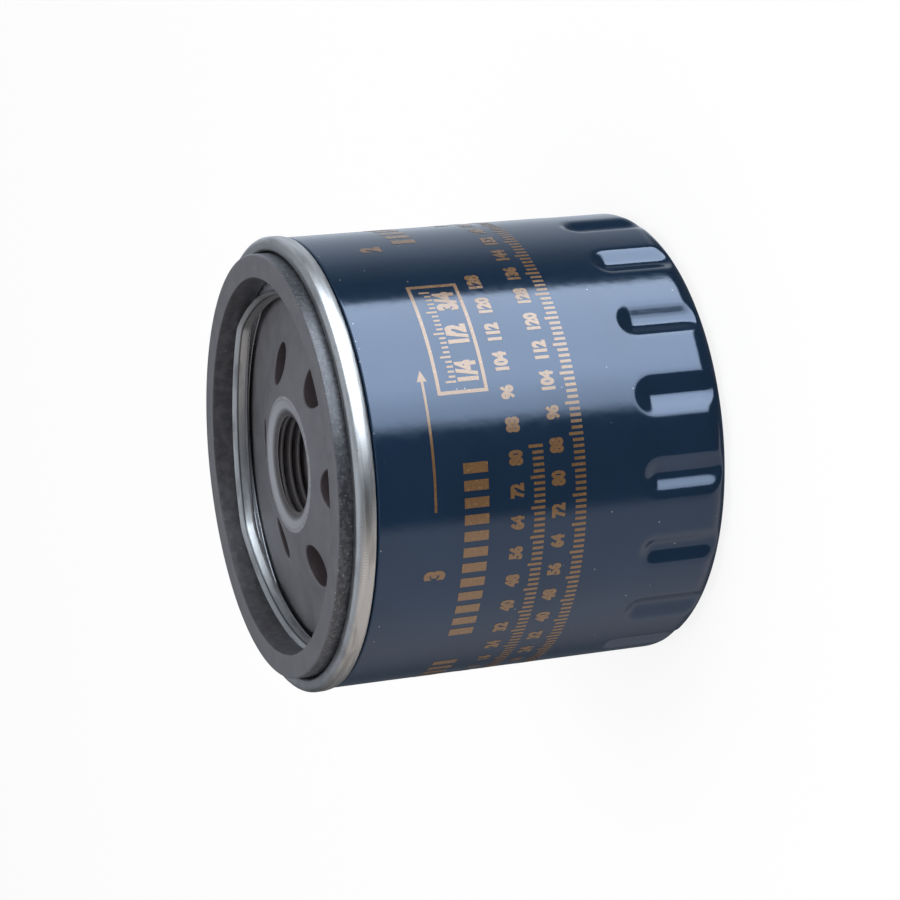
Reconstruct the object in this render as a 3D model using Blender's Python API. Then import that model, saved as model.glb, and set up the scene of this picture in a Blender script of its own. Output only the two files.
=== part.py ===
"""A spin-on oil filter, standing on its closed end with the axis along +Z and the gasket face on top.

The can, the seaming lid, the thread plate, the gasket and the anti-drain valve stay still. The filter element
slides down against the element spring, and the poppet of the bypass valve lifts inside the element.
"""

from math import asin, atan2, cos, pi, radians, sin, sqrt

import bmesh
import bpy
from mathutils import Matrix, Vector

MM = 0.001

# Overall size and running clearances
HEIGHT = 67.8 * MM
SEAT_GAP = 0.3 * MM
RUBBER_GAP = 0.2 * MM
SEAM_GAP = 0.2 * MM
WELD_DISTANCE = 0.0001 * MM

# Drawn can
CAN_RADIUS = 38.0 * MM
CAN_SHEET = 0.5 * MM
CAN_CORNER = 4.2 * MM
DISH_RADIUS = 20.0 * MM
DISH_SLOPE_WIDTH = 2.0 * MM
DISH_DEPTH = 0.8 * MM
FLUTE_COUNT = 18
FLUTE_PHASE = radians(-0.8)
FLUTE_WIDTH = 7.2 * MM
FLUTE_COLUMNS = 5
FLUTE_DEPTH = 1.2 * MM
FLUTE_TOP = 16.3 * MM
FLUTE_END_STEPS = 2
CAN_CORNER_STEPS = 3
NECK_LENGTH = 0.9 * MM
CAN_FLANGE_DROP = 1.0 * MM

# Seaming lid with its gasket groove and crimped collar
LID_SHEET = 0.45 * MM
LID_COLUMNS = 40
SEAM_PROUD = 0.37 * MM
SEAM_HEIGHT = 3.3 * MM
SEAM_HOOK_WIDTH = 0.85 * MM
SEAM_HOOK_HEIGHT = 1.05 * MM
SEAM_HOOK_STEPS = 3
SEAM_SHOULDER = 0.9 * MM
SEAM_SHOULDER_STEPS = 3
CHUCK_SHOULDER = 0.4 * MM
SEAM_TUCK = 0.1 * MM
COLLAR_HEIGHT = 2.2 * MM
COLLAR_BAND = 1.05 * MM
COLLAR_FLARE = 0.25 * MM
COLLAR_FOOT = 0.4 * MM
CRIMP_COUNT = 5
CRIMP_PHASE = radians(36.0)
CRIMP_DEPTH = 1.35 * MM
COLLAR_CLEARANCE = 0.12 * MM

# Gasket
GASKET_PROUD = 2.3 * MM
GASKET_HEIGHT = 5.0 * MM
GASKET_WIDTH = 3.95 * MM
GASKET_EDGE = 0.25 * MM
GASKET_CLEARANCE = 0.25 * MM

# Thread plate
THREAD_MINOR_RADIUS = 8.2 * MM
THREAD_CHAMFER = 0.95 * MM
HUB_RADIUS = 11.2 * MM
HUB_FUNNEL_DEPTH = 0.45 * MM
HUB_WALL = 2.6 * MM
HUB_RISE = 2.4 * MM
HUB_LENGTH = 9.7 * MM
PLATE_THICKNESS = 2.6 * MM
PLATE_CHANNEL_DEPTH = 1.8 * MM
PLATE_CHANNEL_WIDTH = 2.5 * MM
PLATE_FOOT_WIDTH = 1.5 * MM
PLATE_COLUMNS = 40
INLET_COUNT = 6
INLET_RADIUS = 3.55 * MM
INLET_PITCH_RADIUS = 17.8 * MM
INLET_PHASE = radians(14.1)
CLAMP_LAND_WIDTH = 2.0 * MM
CLAMP_LAND_STEP = 0.7 * MM

# Anti-drain valve
VALVE_THICKNESS = 1.2 * MM
VALVE_LIP_MARGIN = 4.0 * MM
VALVE_SLEEVE = 3.8 * MM
VALVE_DROOP = 0.8 * MM
VALVE_LIP_RISE = 1.4 * MM

# Filter element
ELEMENT_CLEARANCE = 1.6 * MM
CAP_SHEET = 0.5 * MM
CAP_RIM = 2.4 * MM
CAP_COLUMNS = 32
CAP_NECK_CLEARANCE = 0.85 * MM
CAP_NECK_HEIGHT = 5.9 * MM
ADHESIVE_THICKNESS = 1.2 * MM
TUBE_RADIUS = 13.3 * MM
TUBE_WALL = 0.5 * MM
TUBE_COLUMNS = 16
TUBE_SLOT_ROWS = 4
PLEAT_COUNT = 32
PAPER_THICKNESS = 0.6 * MM
PLEAT_TIP = 0.9 * MM
CLIP_SHEET = 0.3 * MM
CLIP_DEPTH = 4.0 * MM

# Bypass valve in the lower end cap
SEAT_BORE = 5.6 * MM
SEAT_RADIUS = 8.4 * MM
SEAT_FLANGE = 1.6 * MM
SEAT_FLANGE_THICKNESS = 0.6 * MM
SEAT_LIP = 0.6 * MM
SEAL_THICKNESS = 1.0 * MM
POPPET_OVERLAP = 2.0 * MM
POPPET_THICKNESS = 0.7 * MM
STEM_RADIUS = 1.5 * MM
STEM_LENGTH = 7.0 * MM
BYPASS_COLUMNS = 24
BYPASS_WIRE = 0.8 * MM
BYPASS_SPRING_RADIUS = 3.4 * MM
BYPASS_SPRING_HEIGHT = 8.4 * MM
BYPASS_SPRING_TURNS = 5
CAGE_SHEET = 0.5 * MM
CAGE_CLEARANCE = 0.5 * MM
CAGE_LEGS = 4

# Element spring between the can and the lower end cap
ELEMENT_WIRE = 1.5 * MM
ELEMENT_SPRING_RADIUS = 15.5 * MM
ELEMENT_SPRING_HEIGHT = 9.2 * MM
ELEMENT_SPRING_TURNS = 3.5
SPRING_END_PITCH = 1.15
SPRING_COLUMNS = 10

# Sealing compound in the seam
COMPOUND_HEIGHT = 0.9 * MM

# Heights, from the gasket face downwards
SEAM_TOP = HEIGHT - GASKET_PROUD
SEAM_BOTTOM = SEAM_TOP - SEAM_HEIGHT
GASKET_BOTTOM = HEIGHT - GASKET_HEIGHT
GROOVE_FLOOR = GASKET_BOTTOM - RUBBER_GAP
LID_UNDERSIDE = GROOVE_FLOOR - LID_SHEET
PLATE_FLANGE_TOP = LID_UNDERSIDE - SEAT_GAP
PLATE_CHANNEL_TOP = PLATE_FLANGE_TOP - PLATE_CHANNEL_DEPTH
HUB_TOP = PLATE_FLANGE_TOP + HUB_RISE
HUB_BOTTOM = HUB_TOP - HUB_LENGTH
COLLAR_LIP = GROOVE_FLOOR + COLLAR_HEIGHT

# Radii, from the seam inwards
SEAM_RADIUS = CAN_RADIUS + SEAM_PROUD
SEAM_PANEL_INSIDE = SEAM_RADIUS - LID_SHEET
NECK_RADIUS = SEAM_PANEL_INSIDE - SEAM_HOOK_WIDTH
CHUCK_OUTSIDE = NECK_RADIUS - CAN_SHEET - SEAM_GAP
CHUCK_INSIDE = CHUCK_OUTSIDE - LID_SHEET
GASKET_OUTSIDE = CHUCK_INSIDE - GASKET_CLEARANCE
GASKET_INSIDE = GASKET_OUTSIDE - GASKET_WIDTH
COLLAR_CORNER_INSIDE = GASKET_INSIDE - COLLAR_CLEARANCE - LID_SHEET - COLLAR_FLARE
PLATE_RADIUS = CHUCK_OUTSIDE - SEAM_GAP
PLATE_CHANNEL_OUTSIDE = COLLAR_CORNER_INSIDE - CRIMP_DEPTH - COLLAR_FOOT
PLATE_CHANNEL_INSIDE = PLATE_CHANNEL_OUTSIDE - PLATE_CHANNEL_WIDTH
HUB_SLEEVE_RADIUS = THREAD_MINOR_RADIUS + HUB_WALL
CLAMP_LAND_RADIUS = HUB_SLEEVE_RADIUS + CLAMP_LAND_WIDTH

# Heights of the element, from the clamped valve downwards and from the closed end upwards
CLAMP_LAND = HUB_TOP - PLATE_THICKNESS - CLAMP_LAND_STEP
VALVE_DISC_TOP = CLAMP_LAND - RUBBER_GAP
VALVE_DISC_BOTTOM = VALVE_DISC_TOP - VALVE_THICKNESS
TOP_CAP_NECK_TOP = VALVE_DISC_BOTTOM - RUBBER_GAP
TOP_CAP_UNDERSIDE = TOP_CAP_NECK_TOP - CAP_NECK_HEIGHT - CAP_SHEET
SPRING_BOTTOM = DISH_DEPTH + CAN_SHEET + SEAT_GAP
BOTTOM_CAP_UNDERSIDE = SPRING_BOTTOM + ELEMENT_SPRING_HEIGHT + SEAT_GAP
BOTTOM_CAP_TOP = BOTTOM_CAP_UNDERSIDE + CAP_SHEET
MEDIA_TOP = TOP_CAP_UNDERSIDE - ADHESIVE_THICKNESS - 2 * RUBBER_GAP
MEDIA_BOTTOM = BOTTOM_CAP_TOP + ADHESIVE_THICKNESS + 2 * RUBBER_GAP
ELEMENT_RADIUS = CAN_RADIUS - CAN_SHEET - FLUTE_DEPTH - ELEMENT_CLEARANCE
PLEAT_OUTSIDE = ELEMENT_RADIUS - CAP_SHEET - CLIP_SHEET - 2 * RUBBER_GAP
PLEAT_INSIDE = TUBE_RADIUS + PAPER_THICKNESS + RUBBER_GAP

# Heights of the bypass valve, from the lower end cap upwards
SEAT_FLANGE_TOP = BOTTOM_CAP_TOP + SEAT_GAP + SEAT_FLANGE_THICKNESS
SEAT_TOP = SEAT_FLANGE_TOP + SEAT_LIP
SEAL_BOTTOM = SEAT_TOP + RUBBER_GAP
POPPET_BOTTOM = SEAL_BOTTOM + SEAL_THICKNESS + RUBBER_GAP
POPPET_TOP = POPPET_BOTTOM + POPPET_THICKNESS
POPPET_RADIUS = SEAT_BORE + POPPET_OVERLAP
BYPASS_SPRING_BOTTOM = POPPET_TOP + SEAT_GAP
BYPASS_SPRING_TOP = BYPASS_SPRING_BOTTOM + BYPASS_SPRING_HEIGHT
CAGE_FOOT_UNDERSIDE = SEAT_FLANGE_TOP + SEAT_GAP
CAGE_CROWN_UNDERSIDE = BYPASS_SPRING_TOP + SEAT_GAP
CAGE_RADIUS = POPPET_RADIUS + CAGE_CLEARANCE + CAGE_SHEET


def clear_scene():
    for old in list(bpy.data.objects):
        bpy.data.objects.remove(old, do_unlink=True)


def make_material(name, colour, roughness, metallic):
    made = bpy.data.materials.new(name)
    made.use_nodes = True
    shader = made.node_tree.nodes["Principled BSDF"]
    shader.inputs["Base Color"].default_value = (*colour, 1.0)
    shader.inputs["Roughness"].default_value = roughness
    shader.inputs["Metallic"].default_value = metallic
    made.diffuse_color = (*colour, 1.0)
    return made


def add_object(name, data, material, parent=None, smooth_angle=radians(30)):
    """Links a mesh or a curve as one named piece."""
    piece = bpy.data.objects.new(name, data)
    bpy.context.scene.collection.objects.link(piece)
    data.materials.append(material)
    if piece.type == "MESH":
        data.shade_smooth()
        data.set_sharp_from_angle(angle=smooth_angle)
    piece.parent = parent
    return piece


def finish_mesh(name, bm):
    mesh = bpy.data.meshes.new(name)
    bm.to_mesh(mesh)
    bm.free()
    return mesh


def arc(centre, radius, start, end, steps):
    """Points of an arc in the section plane, as (radius, height), from one angle to another."""
    angles = [start + (end - start) * step / steps for step in range(steps + 1)]
    return [(centre[0] + radius * cos(angle), centre[1] + radius * sin(angle)) for angle in angles]


def lathe(points, columns, closed):
    """A section of (radius, height) turned about the Z axis: a closed ring, or an open sheet facing to its right."""
    bm = bmesh.new()
    verts = [bm.verts.new((radius, 0, height)) for radius, height in points]
    edges = [bm.edges.new(pair) for pair in zip(verts, verts[1:])]
    if closed:
        edges.append(bm.edges.new((verts[-1], verts[0])))
    section = verts + edges
    bmesh.ops.spin(bm, geom=section, cent=(0, 0, 0), axis=(0, 0, 1), angle=2 * pi, steps=columns, use_merge=True)
    bmesh.ops.remove_doubles(bm, verts=bm.verts, dist=WELD_DISTANCE)
    bmesh.ops.reverse_faces(bm, faces=bm.faces)
    return bm


def turned_ring(name, section, columns, material, parent=None):
    """A solid ring turned from a closed section."""
    return add_object(name, finish_mesh(name, lathe(section, columns, closed=True)), material, parent)


def add_thickness(piece, thickness, offset=0.0):
    sheet = piece.modifiers.new("Sheet", "SOLIDIFY")
    sheet.thickness = thickness
    sheet.offset = offset
    sheet.use_even_offset = True
    sheet.use_quality_normals = True
    return sheet


def sheet_ring(name, path, thickness, columns, material, parent=None, shape=None):
    """A pressed sheet: the path is the middle of the sheet, turned about the axis and given its thickness."""
    bm = lathe(path, columns, closed=False)
    if shape:
        shape(bm)
    piece = add_object(name, finish_mesh(name, bm), material, parent)
    add_thickness(piece, thickness)
    return piece


def cylinder_cutter(name, radius, bottom, top, centre, sides):
    bm = bmesh.new()
    place = Matrix.Translation((centre[0], centre[1], (bottom + top) / 2))
    bmesh.ops.create_cone(
        bm, cap_ends=True, segments=sides, radius1=radius, radius2=radius, depth=top - bottom, matrix=place
    )
    cutter = bpy.data.objects.new(name, finish_mesh(name, bm))
    bpy.context.scene.collection.objects.link(cutter)
    cutter.hide_render = True
    cutter.display_type = "WIRE"
    return cutter


def cut(piece, cutter):
    hole = piece.modifiers.new(cutter.name, "BOOLEAN")
    hole.operation = "DIFFERENCE"
    hole.solver = "EXACT"
    hole.object = cutter


def polar(radius, angle):
    return radius * cos(angle), radius * sin(angle)


# Can: a deep-drawn cup with pressed gripping flutes round its closed end


def flute_depth(angle, along):
    """How far the sheet is pressed in at an angle and at a distance along the wall from the start of the corner."""
    pitch = 2 * pi / FLUTE_COUNT
    offset = (angle - FLUTE_PHASE + pitch / 2) % pitch - pitch / 2
    across = offset * CAN_RADIUS
    straight = FLUTE_TOP - CAN_CORNER - FLUTE_WIDTH / 2
    beyond = max(0.0, along - straight, -along)
    distance = sqrt(across * across + beyond * beyond)
    if distance >= FLUTE_WIDTH / 2:
        return 0.0
    return FLUTE_DEPTH * cos(pi * distance / FLUTE_WIDTH) ** 2


def press_flutes(bm):
    corner_middle = CAN_RADIUS - CAN_CORNER
    for vert in bm.verts:
        radius = vert.co.xy.length
        if radius < corner_middle or vert.co.z > FLUTE_TOP:
            continue
        if vert.co.z < CAN_CORNER:
            sweep = asin(min(1.0, (CAN_CORNER - vert.co.z) / CAN_CORNER))
            along = -CAN_CORNER * sweep
        else:
            along = vert.co.z - CAN_CORNER
        depth = flute_depth(atan2(vert.co.y, vert.co.x), along)
        vert.co.x *= 1 - depth / radius
        vert.co.y *= 1 - depth / radius


def gather_columns(bm):
    """Moves evenly spaced columns together into the flutes, so that each flute has a middle, two flanks and two edges."""
    pitch = 2 * pi / FLUTE_COUNT
    edge = FLUTE_WIDTH / 2 / CAN_RADIUS
    gathering = edge / (pitch * (FLUTE_COLUMNS // 2) / FLUTE_COLUMNS)
    for vert in bm.verts:
        angle = atan2(vert.co.y, vert.co.x)
        flute = round(angle / pitch)
        gathered = FLUTE_PHASE + flute * pitch + (angle - flute * pitch) * gathering
        radius = vert.co.xy.length
        vert.co.x = radius * cos(gathered)
        vert.co.y = radius * sin(gathered)


def can_path():
    """The outside of the can from the middle of its closed end to the edge of its seaming flange."""
    corner = arc((CAN_RADIUS - CAN_CORNER, CAN_CORNER), CAN_CORNER, -pi / 2, 0, CAN_CORNER_STEPS)
    flute_end = arc((CAN_RADIUS, FLUTE_TOP - FLUTE_WIDTH / 2), FLUTE_WIDTH / 2, 0, pi / 2, FLUTE_END_STEPS)
    neck_bottom = SEAM_BOTTOM - NECK_LENGTH
    flange = SEAM_TOP - LID_SHEET - CAN_SHEET - CAN_FLANGE_DROP
    return (
        [(0, DISH_DEPTH), (DISH_RADIUS, DISH_DEPTH), (DISH_RADIUS + DISH_SLOPE_WIDTH, 0)]
        + corner
        + [(CAN_RADIUS, height) for _, height in flute_end]
        + [(CAN_RADIUS, neck_bottom), (NECK_RADIUS, SEAM_BOTTOM), (NECK_RADIUS, flange)]
        + [(SEAM_PANEL_INSIDE - SEAM_GAP, flange)]
    )


def make_can(material):
    bm = lathe(can_path(), FLUTE_COUNT * FLUTE_COLUMNS, closed=False)
    gather_columns(bm)
    press_flutes(bm)
    can = add_object("canister", finish_mesh("canister", bm), material)
    add_thickness(can, CAN_SHEET, offset=-1.0)
    return can


# Seaming lid: the outer curl of the double seam, the gasket groove and the collar that holds the gasket


def collar_radius(angle, corner):
    """A collar expanded by a segmented tool: shallow arcs that meet in outward corners."""
    half = pi / CRIMP_COUNT
    offset = abs((angle - CRIMP_PHASE + half) % (2 * half) - half)
    middle = corner - CRIMP_DEPTH
    half_chord = corner * sin(half)
    rise = middle - corner * cos(half)
    bend = (half_chord**2 + rise**2) / (2 * rise)
    centre = bend - middle
    swing = half - offset
    return sqrt(bend**2 - (centre * sin(swing)) ** 2) - centre * cos(swing)


def lid_path():
    """The middle of the lid's sheet, from the hook of the seam to the lip of the collar."""
    half = LID_SHEET / 2
    panel = SEAM_RADIUS - half
    chuck = CHUCK_OUTSIDE - half
    floor = GROOVE_FLOOR - half
    top = SEAM_TOP - half
    collar = COLLAR_CORNER_INSIDE + half
    shoulder = arc((panel - SEAM_SHOULDER, top - SEAM_SHOULDER), SEAM_SHOULDER, 0, pi / 2, SEAM_SHOULDER_STEPS)
    hook = NECK_RADIUS + SEAM_GAP + half
    bend = (panel - SEAM_TUCK - hook) / 2
    fold = arc((hook + bend, SEAM_BOTTOM + half + bend), bend, pi, 2 * pi, SEAM_HOOK_STEPS)
    return [
        (hook, SEAM_BOTTOM + SEAM_HOOK_HEIGHT),
        *fold,
        (panel, SEAM_BOTTOM + SEAM_HOOK_HEIGHT),
        *shoulder,
        (chuck + CHUCK_SHOULDER, top),
        (chuck, top - CHUCK_SHOULDER),
        (chuck, floor),
        (collar + COLLAR_FOOT, floor),
        (collar, floor + COLLAR_FOOT),
        (collar, COLLAR_LIP - COLLAR_BAND),
        (collar + COLLAR_FLARE, COLLAR_LIP),
    ]


def crimp_collar(bm):
    collar = COLLAR_CORNER_INSIDE + LID_SHEET / 2
    outermost = collar + COLLAR_FOOT + LID_SHEET / 4
    for vert in bm.verts:
        radius = vert.co.xy.length
        if radius > outermost:
            continue
        drawn_in = collar - collar_radius(atan2(vert.co.y, vert.co.x), collar)
        vert.co.x *= 1 - drawn_in / radius
        vert.co.y *= 1 - drawn_in / radius


def make_lid(material):
    return sheet_ring("seaming_lid", lid_path(), LID_SHEET, LID_COLUMNS, material, shape=crimp_collar)


def make_seam_compound(material):
    """The ring of sealing compound that fills the top of the curl."""
    top = SEAM_TOP - LID_SHEET - SEAM_GAP
    bottom = top - COMPOUND_HEIGHT + SEAM_GAP
    inside = CHUCK_OUTSIDE + SEAM_GAP
    outside = SEAM_PANEL_INSIDE - SEAM_GAP
    outer_edge = SEAM_SHOULDER / 2
    inner_edge = CHUCK_SHOULDER / 2
    section = [
        (inside, bottom),
        (outside, bottom),
        (outside, top - outer_edge),
        (outside - outer_edge, top),
        (inside + inner_edge, top),
        (inside, top - inner_edge),
    ]
    return turned_ring("seam_compound", section, LID_COLUMNS, material)


# Gasket and thread plate


def make_gasket(material):
    section = [
        (GASKET_INSIDE, GASKET_BOTTOM),
        (GASKET_OUTSIDE, GASKET_BOTTOM),
        (GASKET_OUTSIDE, HEIGHT - GASKET_EDGE),
        (GASKET_OUTSIDE - GASKET_EDGE, HEIGHT),
        (GASKET_INSIDE + GASKET_EDGE, HEIGHT),
        (GASKET_INSIDE, HEIGHT - GASKET_EDGE),
    ]
    return turned_ring("gasket", section, LID_COLUMNS, material)


def plate_section():
    """The threaded hub, the dished web with its channel, and the flange under the seaming lid."""
    foot_inside = PLATE_CHANNEL_OUTSIDE + PLATE_FOOT_WIDTH
    flange_bottom = PLATE_FLANGE_TOP - PLATE_THICKNESS
    channel_bottom = PLATE_CHANNEL_TOP - PLATE_THICKNESS
    return [
        (THREAD_MINOR_RADIUS, HUB_BOTTOM),
        (HUB_SLEEVE_RADIUS, HUB_BOTTOM),
        (HUB_SLEEVE_RADIUS, CLAMP_LAND),
        (CLAMP_LAND_RADIUS, CLAMP_LAND),
        (PLATE_CHANNEL_INSIDE, channel_bottom),
        (PLATE_CHANNEL_OUTSIDE, channel_bottom),
        (foot_inside, flange_bottom),
        (PLATE_RADIUS, flange_bottom),
        (PLATE_RADIUS, PLATE_FLANGE_TOP),
        (foot_inside, PLATE_FLANGE_TOP),
        (PLATE_CHANNEL_OUTSIDE, PLATE_CHANNEL_TOP),
        (PLATE_CHANNEL_INSIDE, PLATE_CHANNEL_TOP),
        (HUB_RADIUS, HUB_TOP),
        (THREAD_MINOR_RADIUS + THREAD_CHAMFER, HUB_TOP - HUB_FUNNEL_DEPTH),
        (THREAD_MINOR_RADIUS, HUB_TOP - THREAD_CHAMFER),
    ]


def make_thread_plate(material):
    plate = turned_ring("thread_plate", plate_section(), PLATE_COLUMNS, material)
    for number in range(INLET_COUNT):
        angle = INLET_PHASE + 2 * pi * number / INLET_COUNT
        centre = polar(INLET_PITCH_RADIUS, angle)
        name = f"inlet_cutter_{number + 1}"
        cut(plate, cylinder_cutter(name, INLET_RADIUS, HUB_BOTTOM, HEIGHT, centre, sides=20))
    return plate


def make_anti_drain_valve(material):
    """A rubber umbrella: its disc is clamped round the hub and its lip closes on the plate outside the inlets."""
    half = VALVE_THICKNESS / 2
    disc = VALVE_DISC_TOP - half
    sleeve = HUB_SLEEVE_RADIUS + CAP_NECK_CLEARANCE + CAP_SHEET + RUBBER_GAP + half
    floor = VALVE_DISC_TOP - VALVE_SLEEVE - half
    droop = floor - VALVE_DROOP
    lip = INLET_PITCH_RADIUS + INLET_RADIUS + VALVE_LIP_MARGIN
    path = [
        (HUB_SLEEVE_RADIUS + RUBBER_GAP, disc),
        (sleeve, disc),
        (sleeve, floor),
        (INLET_PITCH_RADIUS, droop),
        (INLET_PITCH_RADIUS + INLET_RADIUS, droop),
        (lip, droop + VALVE_LIP_RISE),
    ]
    return sheet_ring("anti_drain_valve", path, VALVE_THICKNESS, CAP_COLUMNS, material)


# Filter element: pleated paper between two end caps on a perforated tube


def make_top_cap(material, parent):
    half = CAP_SHEET / 2
    neck = HUB_SLEEVE_RADIUS + CAP_NECK_CLEARANCE + half
    level = TOP_CAP_UNDERSIDE + half
    rim = ELEMENT_RADIUS - half
    path = [(neck, TOP_CAP_NECK_TOP), (neck, level), (rim, level), (rim, level - CAP_RIM)]
    return sheet_ring("top_end_cap", path, CAP_SHEET, CAP_COLUMNS, material, parent)


def make_bottom_cap(material, parent):
    half = CAP_SHEET / 2
    level = BOTTOM_CAP_UNDERSIDE + half
    rim = ELEMENT_RADIUS - half
    path = [(SEAT_RADIUS + SEAT_GAP, level), (rim, level), (rim, level + CAP_RIM)]
    return sheet_ring("bottom_end_cap", path, CAP_SHEET, CAP_COLUMNS, material, parent)


def make_adhesive(name, bottom, material, parent):
    """A disc of hardened adhesive that holds the pleats in an end cap."""
    inside = TUBE_RADIUS + RUBBER_GAP
    outside = ELEMENT_RADIUS - CAP_SHEET - RUBBER_GAP
    top = bottom + ADHESIVE_THICKNESS
    section = [(inside, bottom), (outside, bottom), (outside, top), (inside, top)]
    return turned_ring(name, section, CAP_COLUMNS, material, parent)


def tube_rows(bottom, top):
    """Heights that divide the tube into plain bands and rows of slots."""
    bands = 2 * TUBE_SLOT_ROWS + 1
    return [bottom + (top - bottom) * row / bands for row in range(bands + 1)]


def cut_slots(bm, rows):
    """Takes every second face out of every second row."""
    removed = []
    for face in bm.faces:
        middle = face.calc_center_median()
        row = sum(middle.z > height for height in rows) - 1
        column = int(atan2(middle.y, middle.x) % (2 * pi) / (2 * pi / TUBE_COLUMNS))
        if row % 2 == 1 and column % 2 == row // 2 % 2:
            removed.append(face)
    bmesh.ops.delete(bm, geom=removed, context="FACES")


def make_centre_tube(material, parent):
    middle = TUBE_RADIUS - TUBE_WALL / 2
    rows = tube_rows(BOTTOM_CAP_TOP + RUBBER_GAP, TOP_CAP_UNDERSIDE - RUBBER_GAP)
    path = [(middle, height) for height in rows]
    return sheet_ring(
        "centre_tube", path, TUBE_WALL, TUBE_COLUMNS, material, parent, shape=lambda bm: cut_slots(bm, rows)
    )


def pleat_path():
    """The paper's zigzag from one cut end to the other, both at the outside of the last pleat."""
    pitch = 2 * pi / PLEAT_COUNT
    outside = PLEAT_OUTSIDE - PAPER_THICKNESS / 2
    inside = PLEAT_INSIDE
    outer_half = PLEAT_TIP / outside
    inner_half = PLEAT_TIP / 2 / inside
    points = [polar(outside, outer_half)]
    for number in range(PLEAT_COUNT):
        valley = (number + 0.5) * pitch
        peak = (number + 1) * pitch
        points.append(polar(inside, valley - inner_half))
        points.append(polar(inside, valley + inner_half))
        points.append(polar(outside, peak - outer_half))
        if number < PLEAT_COUNT - 1:
            points.append(polar(outside, peak + outer_half))
    return points


def extruded_strip(name, points, bottom, top):
    bm = bmesh.new()
    lower = [bm.verts.new((x, y, bottom)) for x, y in points]
    edges = [bm.edges.new(pair) for pair in zip(lower, lower[1:])]
    raised = bmesh.ops.extrude_edge_only(bm, edges=edges)["geom"]
    moved = [item for item in raised if isinstance(item, bmesh.types.BMVert)]
    bmesh.ops.translate(bm, verts=moved, vec=(0, 0, top - bottom))
    return finish_mesh(name, bm)


def make_media(material, parent):
    mesh = extruded_strip("pleated_media", pleat_path(), MEDIA_BOTTOM, MEDIA_TOP)
    media = add_object("pleated_media", mesh, material, parent, smooth_angle=radians(20))
    add_thickness(media, PAPER_THICKNESS)
    return media


def make_media_clip(material, parent):
    """The folded strip that grips the two cut ends of the paper."""
    half = CLIP_SHEET / 2
    outside = PLEAT_OUTSIDE + RUBBER_GAP + half
    grip = PLEAT_TIP + PAPER_THICKNESS / 2 + RUBBER_GAP + half
    inside = outside - CLIP_DEPTH
    points = [(inside, -grip), (outside, -grip), (outside, grip), (inside, grip)]
    mesh = extruded_strip("media_clip", points, MEDIA_BOTTOM, MEDIA_TOP)
    clip = add_object("media_clip", mesh, material, parent)
    add_thickness(clip, CLIP_SHEET)
    return clip


# Bypass valve: a sprung poppet on a seat, held in a cage inside the tube


def make_bypass_seat(material, parent):
    bottom = BOTTOM_CAP_UNDERSIDE
    flange = SEAT_RADIUS + SEAT_FLANGE
    flange_bottom = BOTTOM_CAP_TOP + SEAT_GAP
    lip = SEAT_BORE + SEAT_LIP
    section = [
        (SEAT_BORE, bottom),
        (SEAT_RADIUS, bottom),
        (SEAT_RADIUS, flange_bottom),
        (flange, flange_bottom),
        (flange, SEAT_FLANGE_TOP),
        (lip + SEAT_LIP, SEAT_FLANGE_TOP),
        (lip, SEAT_TOP),
        (SEAT_BORE, SEAT_TOP),
    ]
    return turned_ring("bypass_seat", section, BYPASS_COLUMNS, material, parent)


def make_bypass_seal(material, parent):
    inside = SEAT_BORE - POPPET_OVERLAP / 2
    top = SEAL_BOTTOM + SEAL_THICKNESS
    section = [(inside, SEAL_BOTTOM), (POPPET_RADIUS, SEAL_BOTTOM), (POPPET_RADIUS, top), (inside, top)]
    return turned_ring("bypass_seal", section, BYPASS_COLUMNS, material, parent)


def make_bypass_poppet(material, parent):
    """A round plate with a boss that locates the seal and a stem that guides the spring."""
    boss = SEAT_BORE - POPPET_OVERLAP / 2 - RUBBER_GAP
    tip = STEM_RADIUS / 2
    section = [
        (0, SEAL_BOTTOM),
        (boss, SEAL_BOTTOM),
        (boss, POPPET_BOTTOM),
        (POPPET_RADIUS, POPPET_BOTTOM),
        (POPPET_RADIUS, POPPET_TOP),
        (STEM_RADIUS, POPPET_TOP),
        (STEM_RADIUS, POPPET_TOP + STEM_LENGTH - tip),
        (STEM_RADIUS - tip, POPPET_TOP + STEM_LENGTH),
        (0, POPPET_TOP + STEM_LENGTH),
    ]
    bm = lathe(section, BYPASS_COLUMNS, closed=False)
    return add_object("bypass_poppet", finish_mesh("bypass_poppet", bm), material, parent)


def open_cage(bm):
    """Leaves narrow legs between wide windows."""
    pitch = 2 * pi / CAGE_LEGS
    leg = 2 * pi / BYPASS_COLUMNS
    removed = []
    for face in bm.faces:
        middle = face.calc_center_median()
        upright = CAGE_FOOT_UNDERSIDE + CAGE_SHEET < middle.z < CAGE_CROWN_UNDERSIDE
        offset = atan2(middle.y, middle.x) % pitch
        if upright and offset > leg:
            removed.append(face)
    bmesh.ops.delete(bm, geom=removed, context="FACES")


def make_bypass_cage(material, parent):
    half = CAGE_SHEET / 2
    wall = CAGE_RADIUS - half
    foot = CAGE_FOOT_UNDERSIDE + half
    crown = CAGE_CROWN_UNDERSIDE + half
    path = [
        (SEAT_RADIUS + SEAT_FLANGE, foot),
        (wall, foot),
        (wall, crown),
        (STEM_RADIUS + CAGE_CLEARANCE + half, crown),
    ]
    return sheet_ring("bypass_cage", path, CAGE_SHEET, BYPASS_COLUMNS, material, parent, shape=open_cage)


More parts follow.
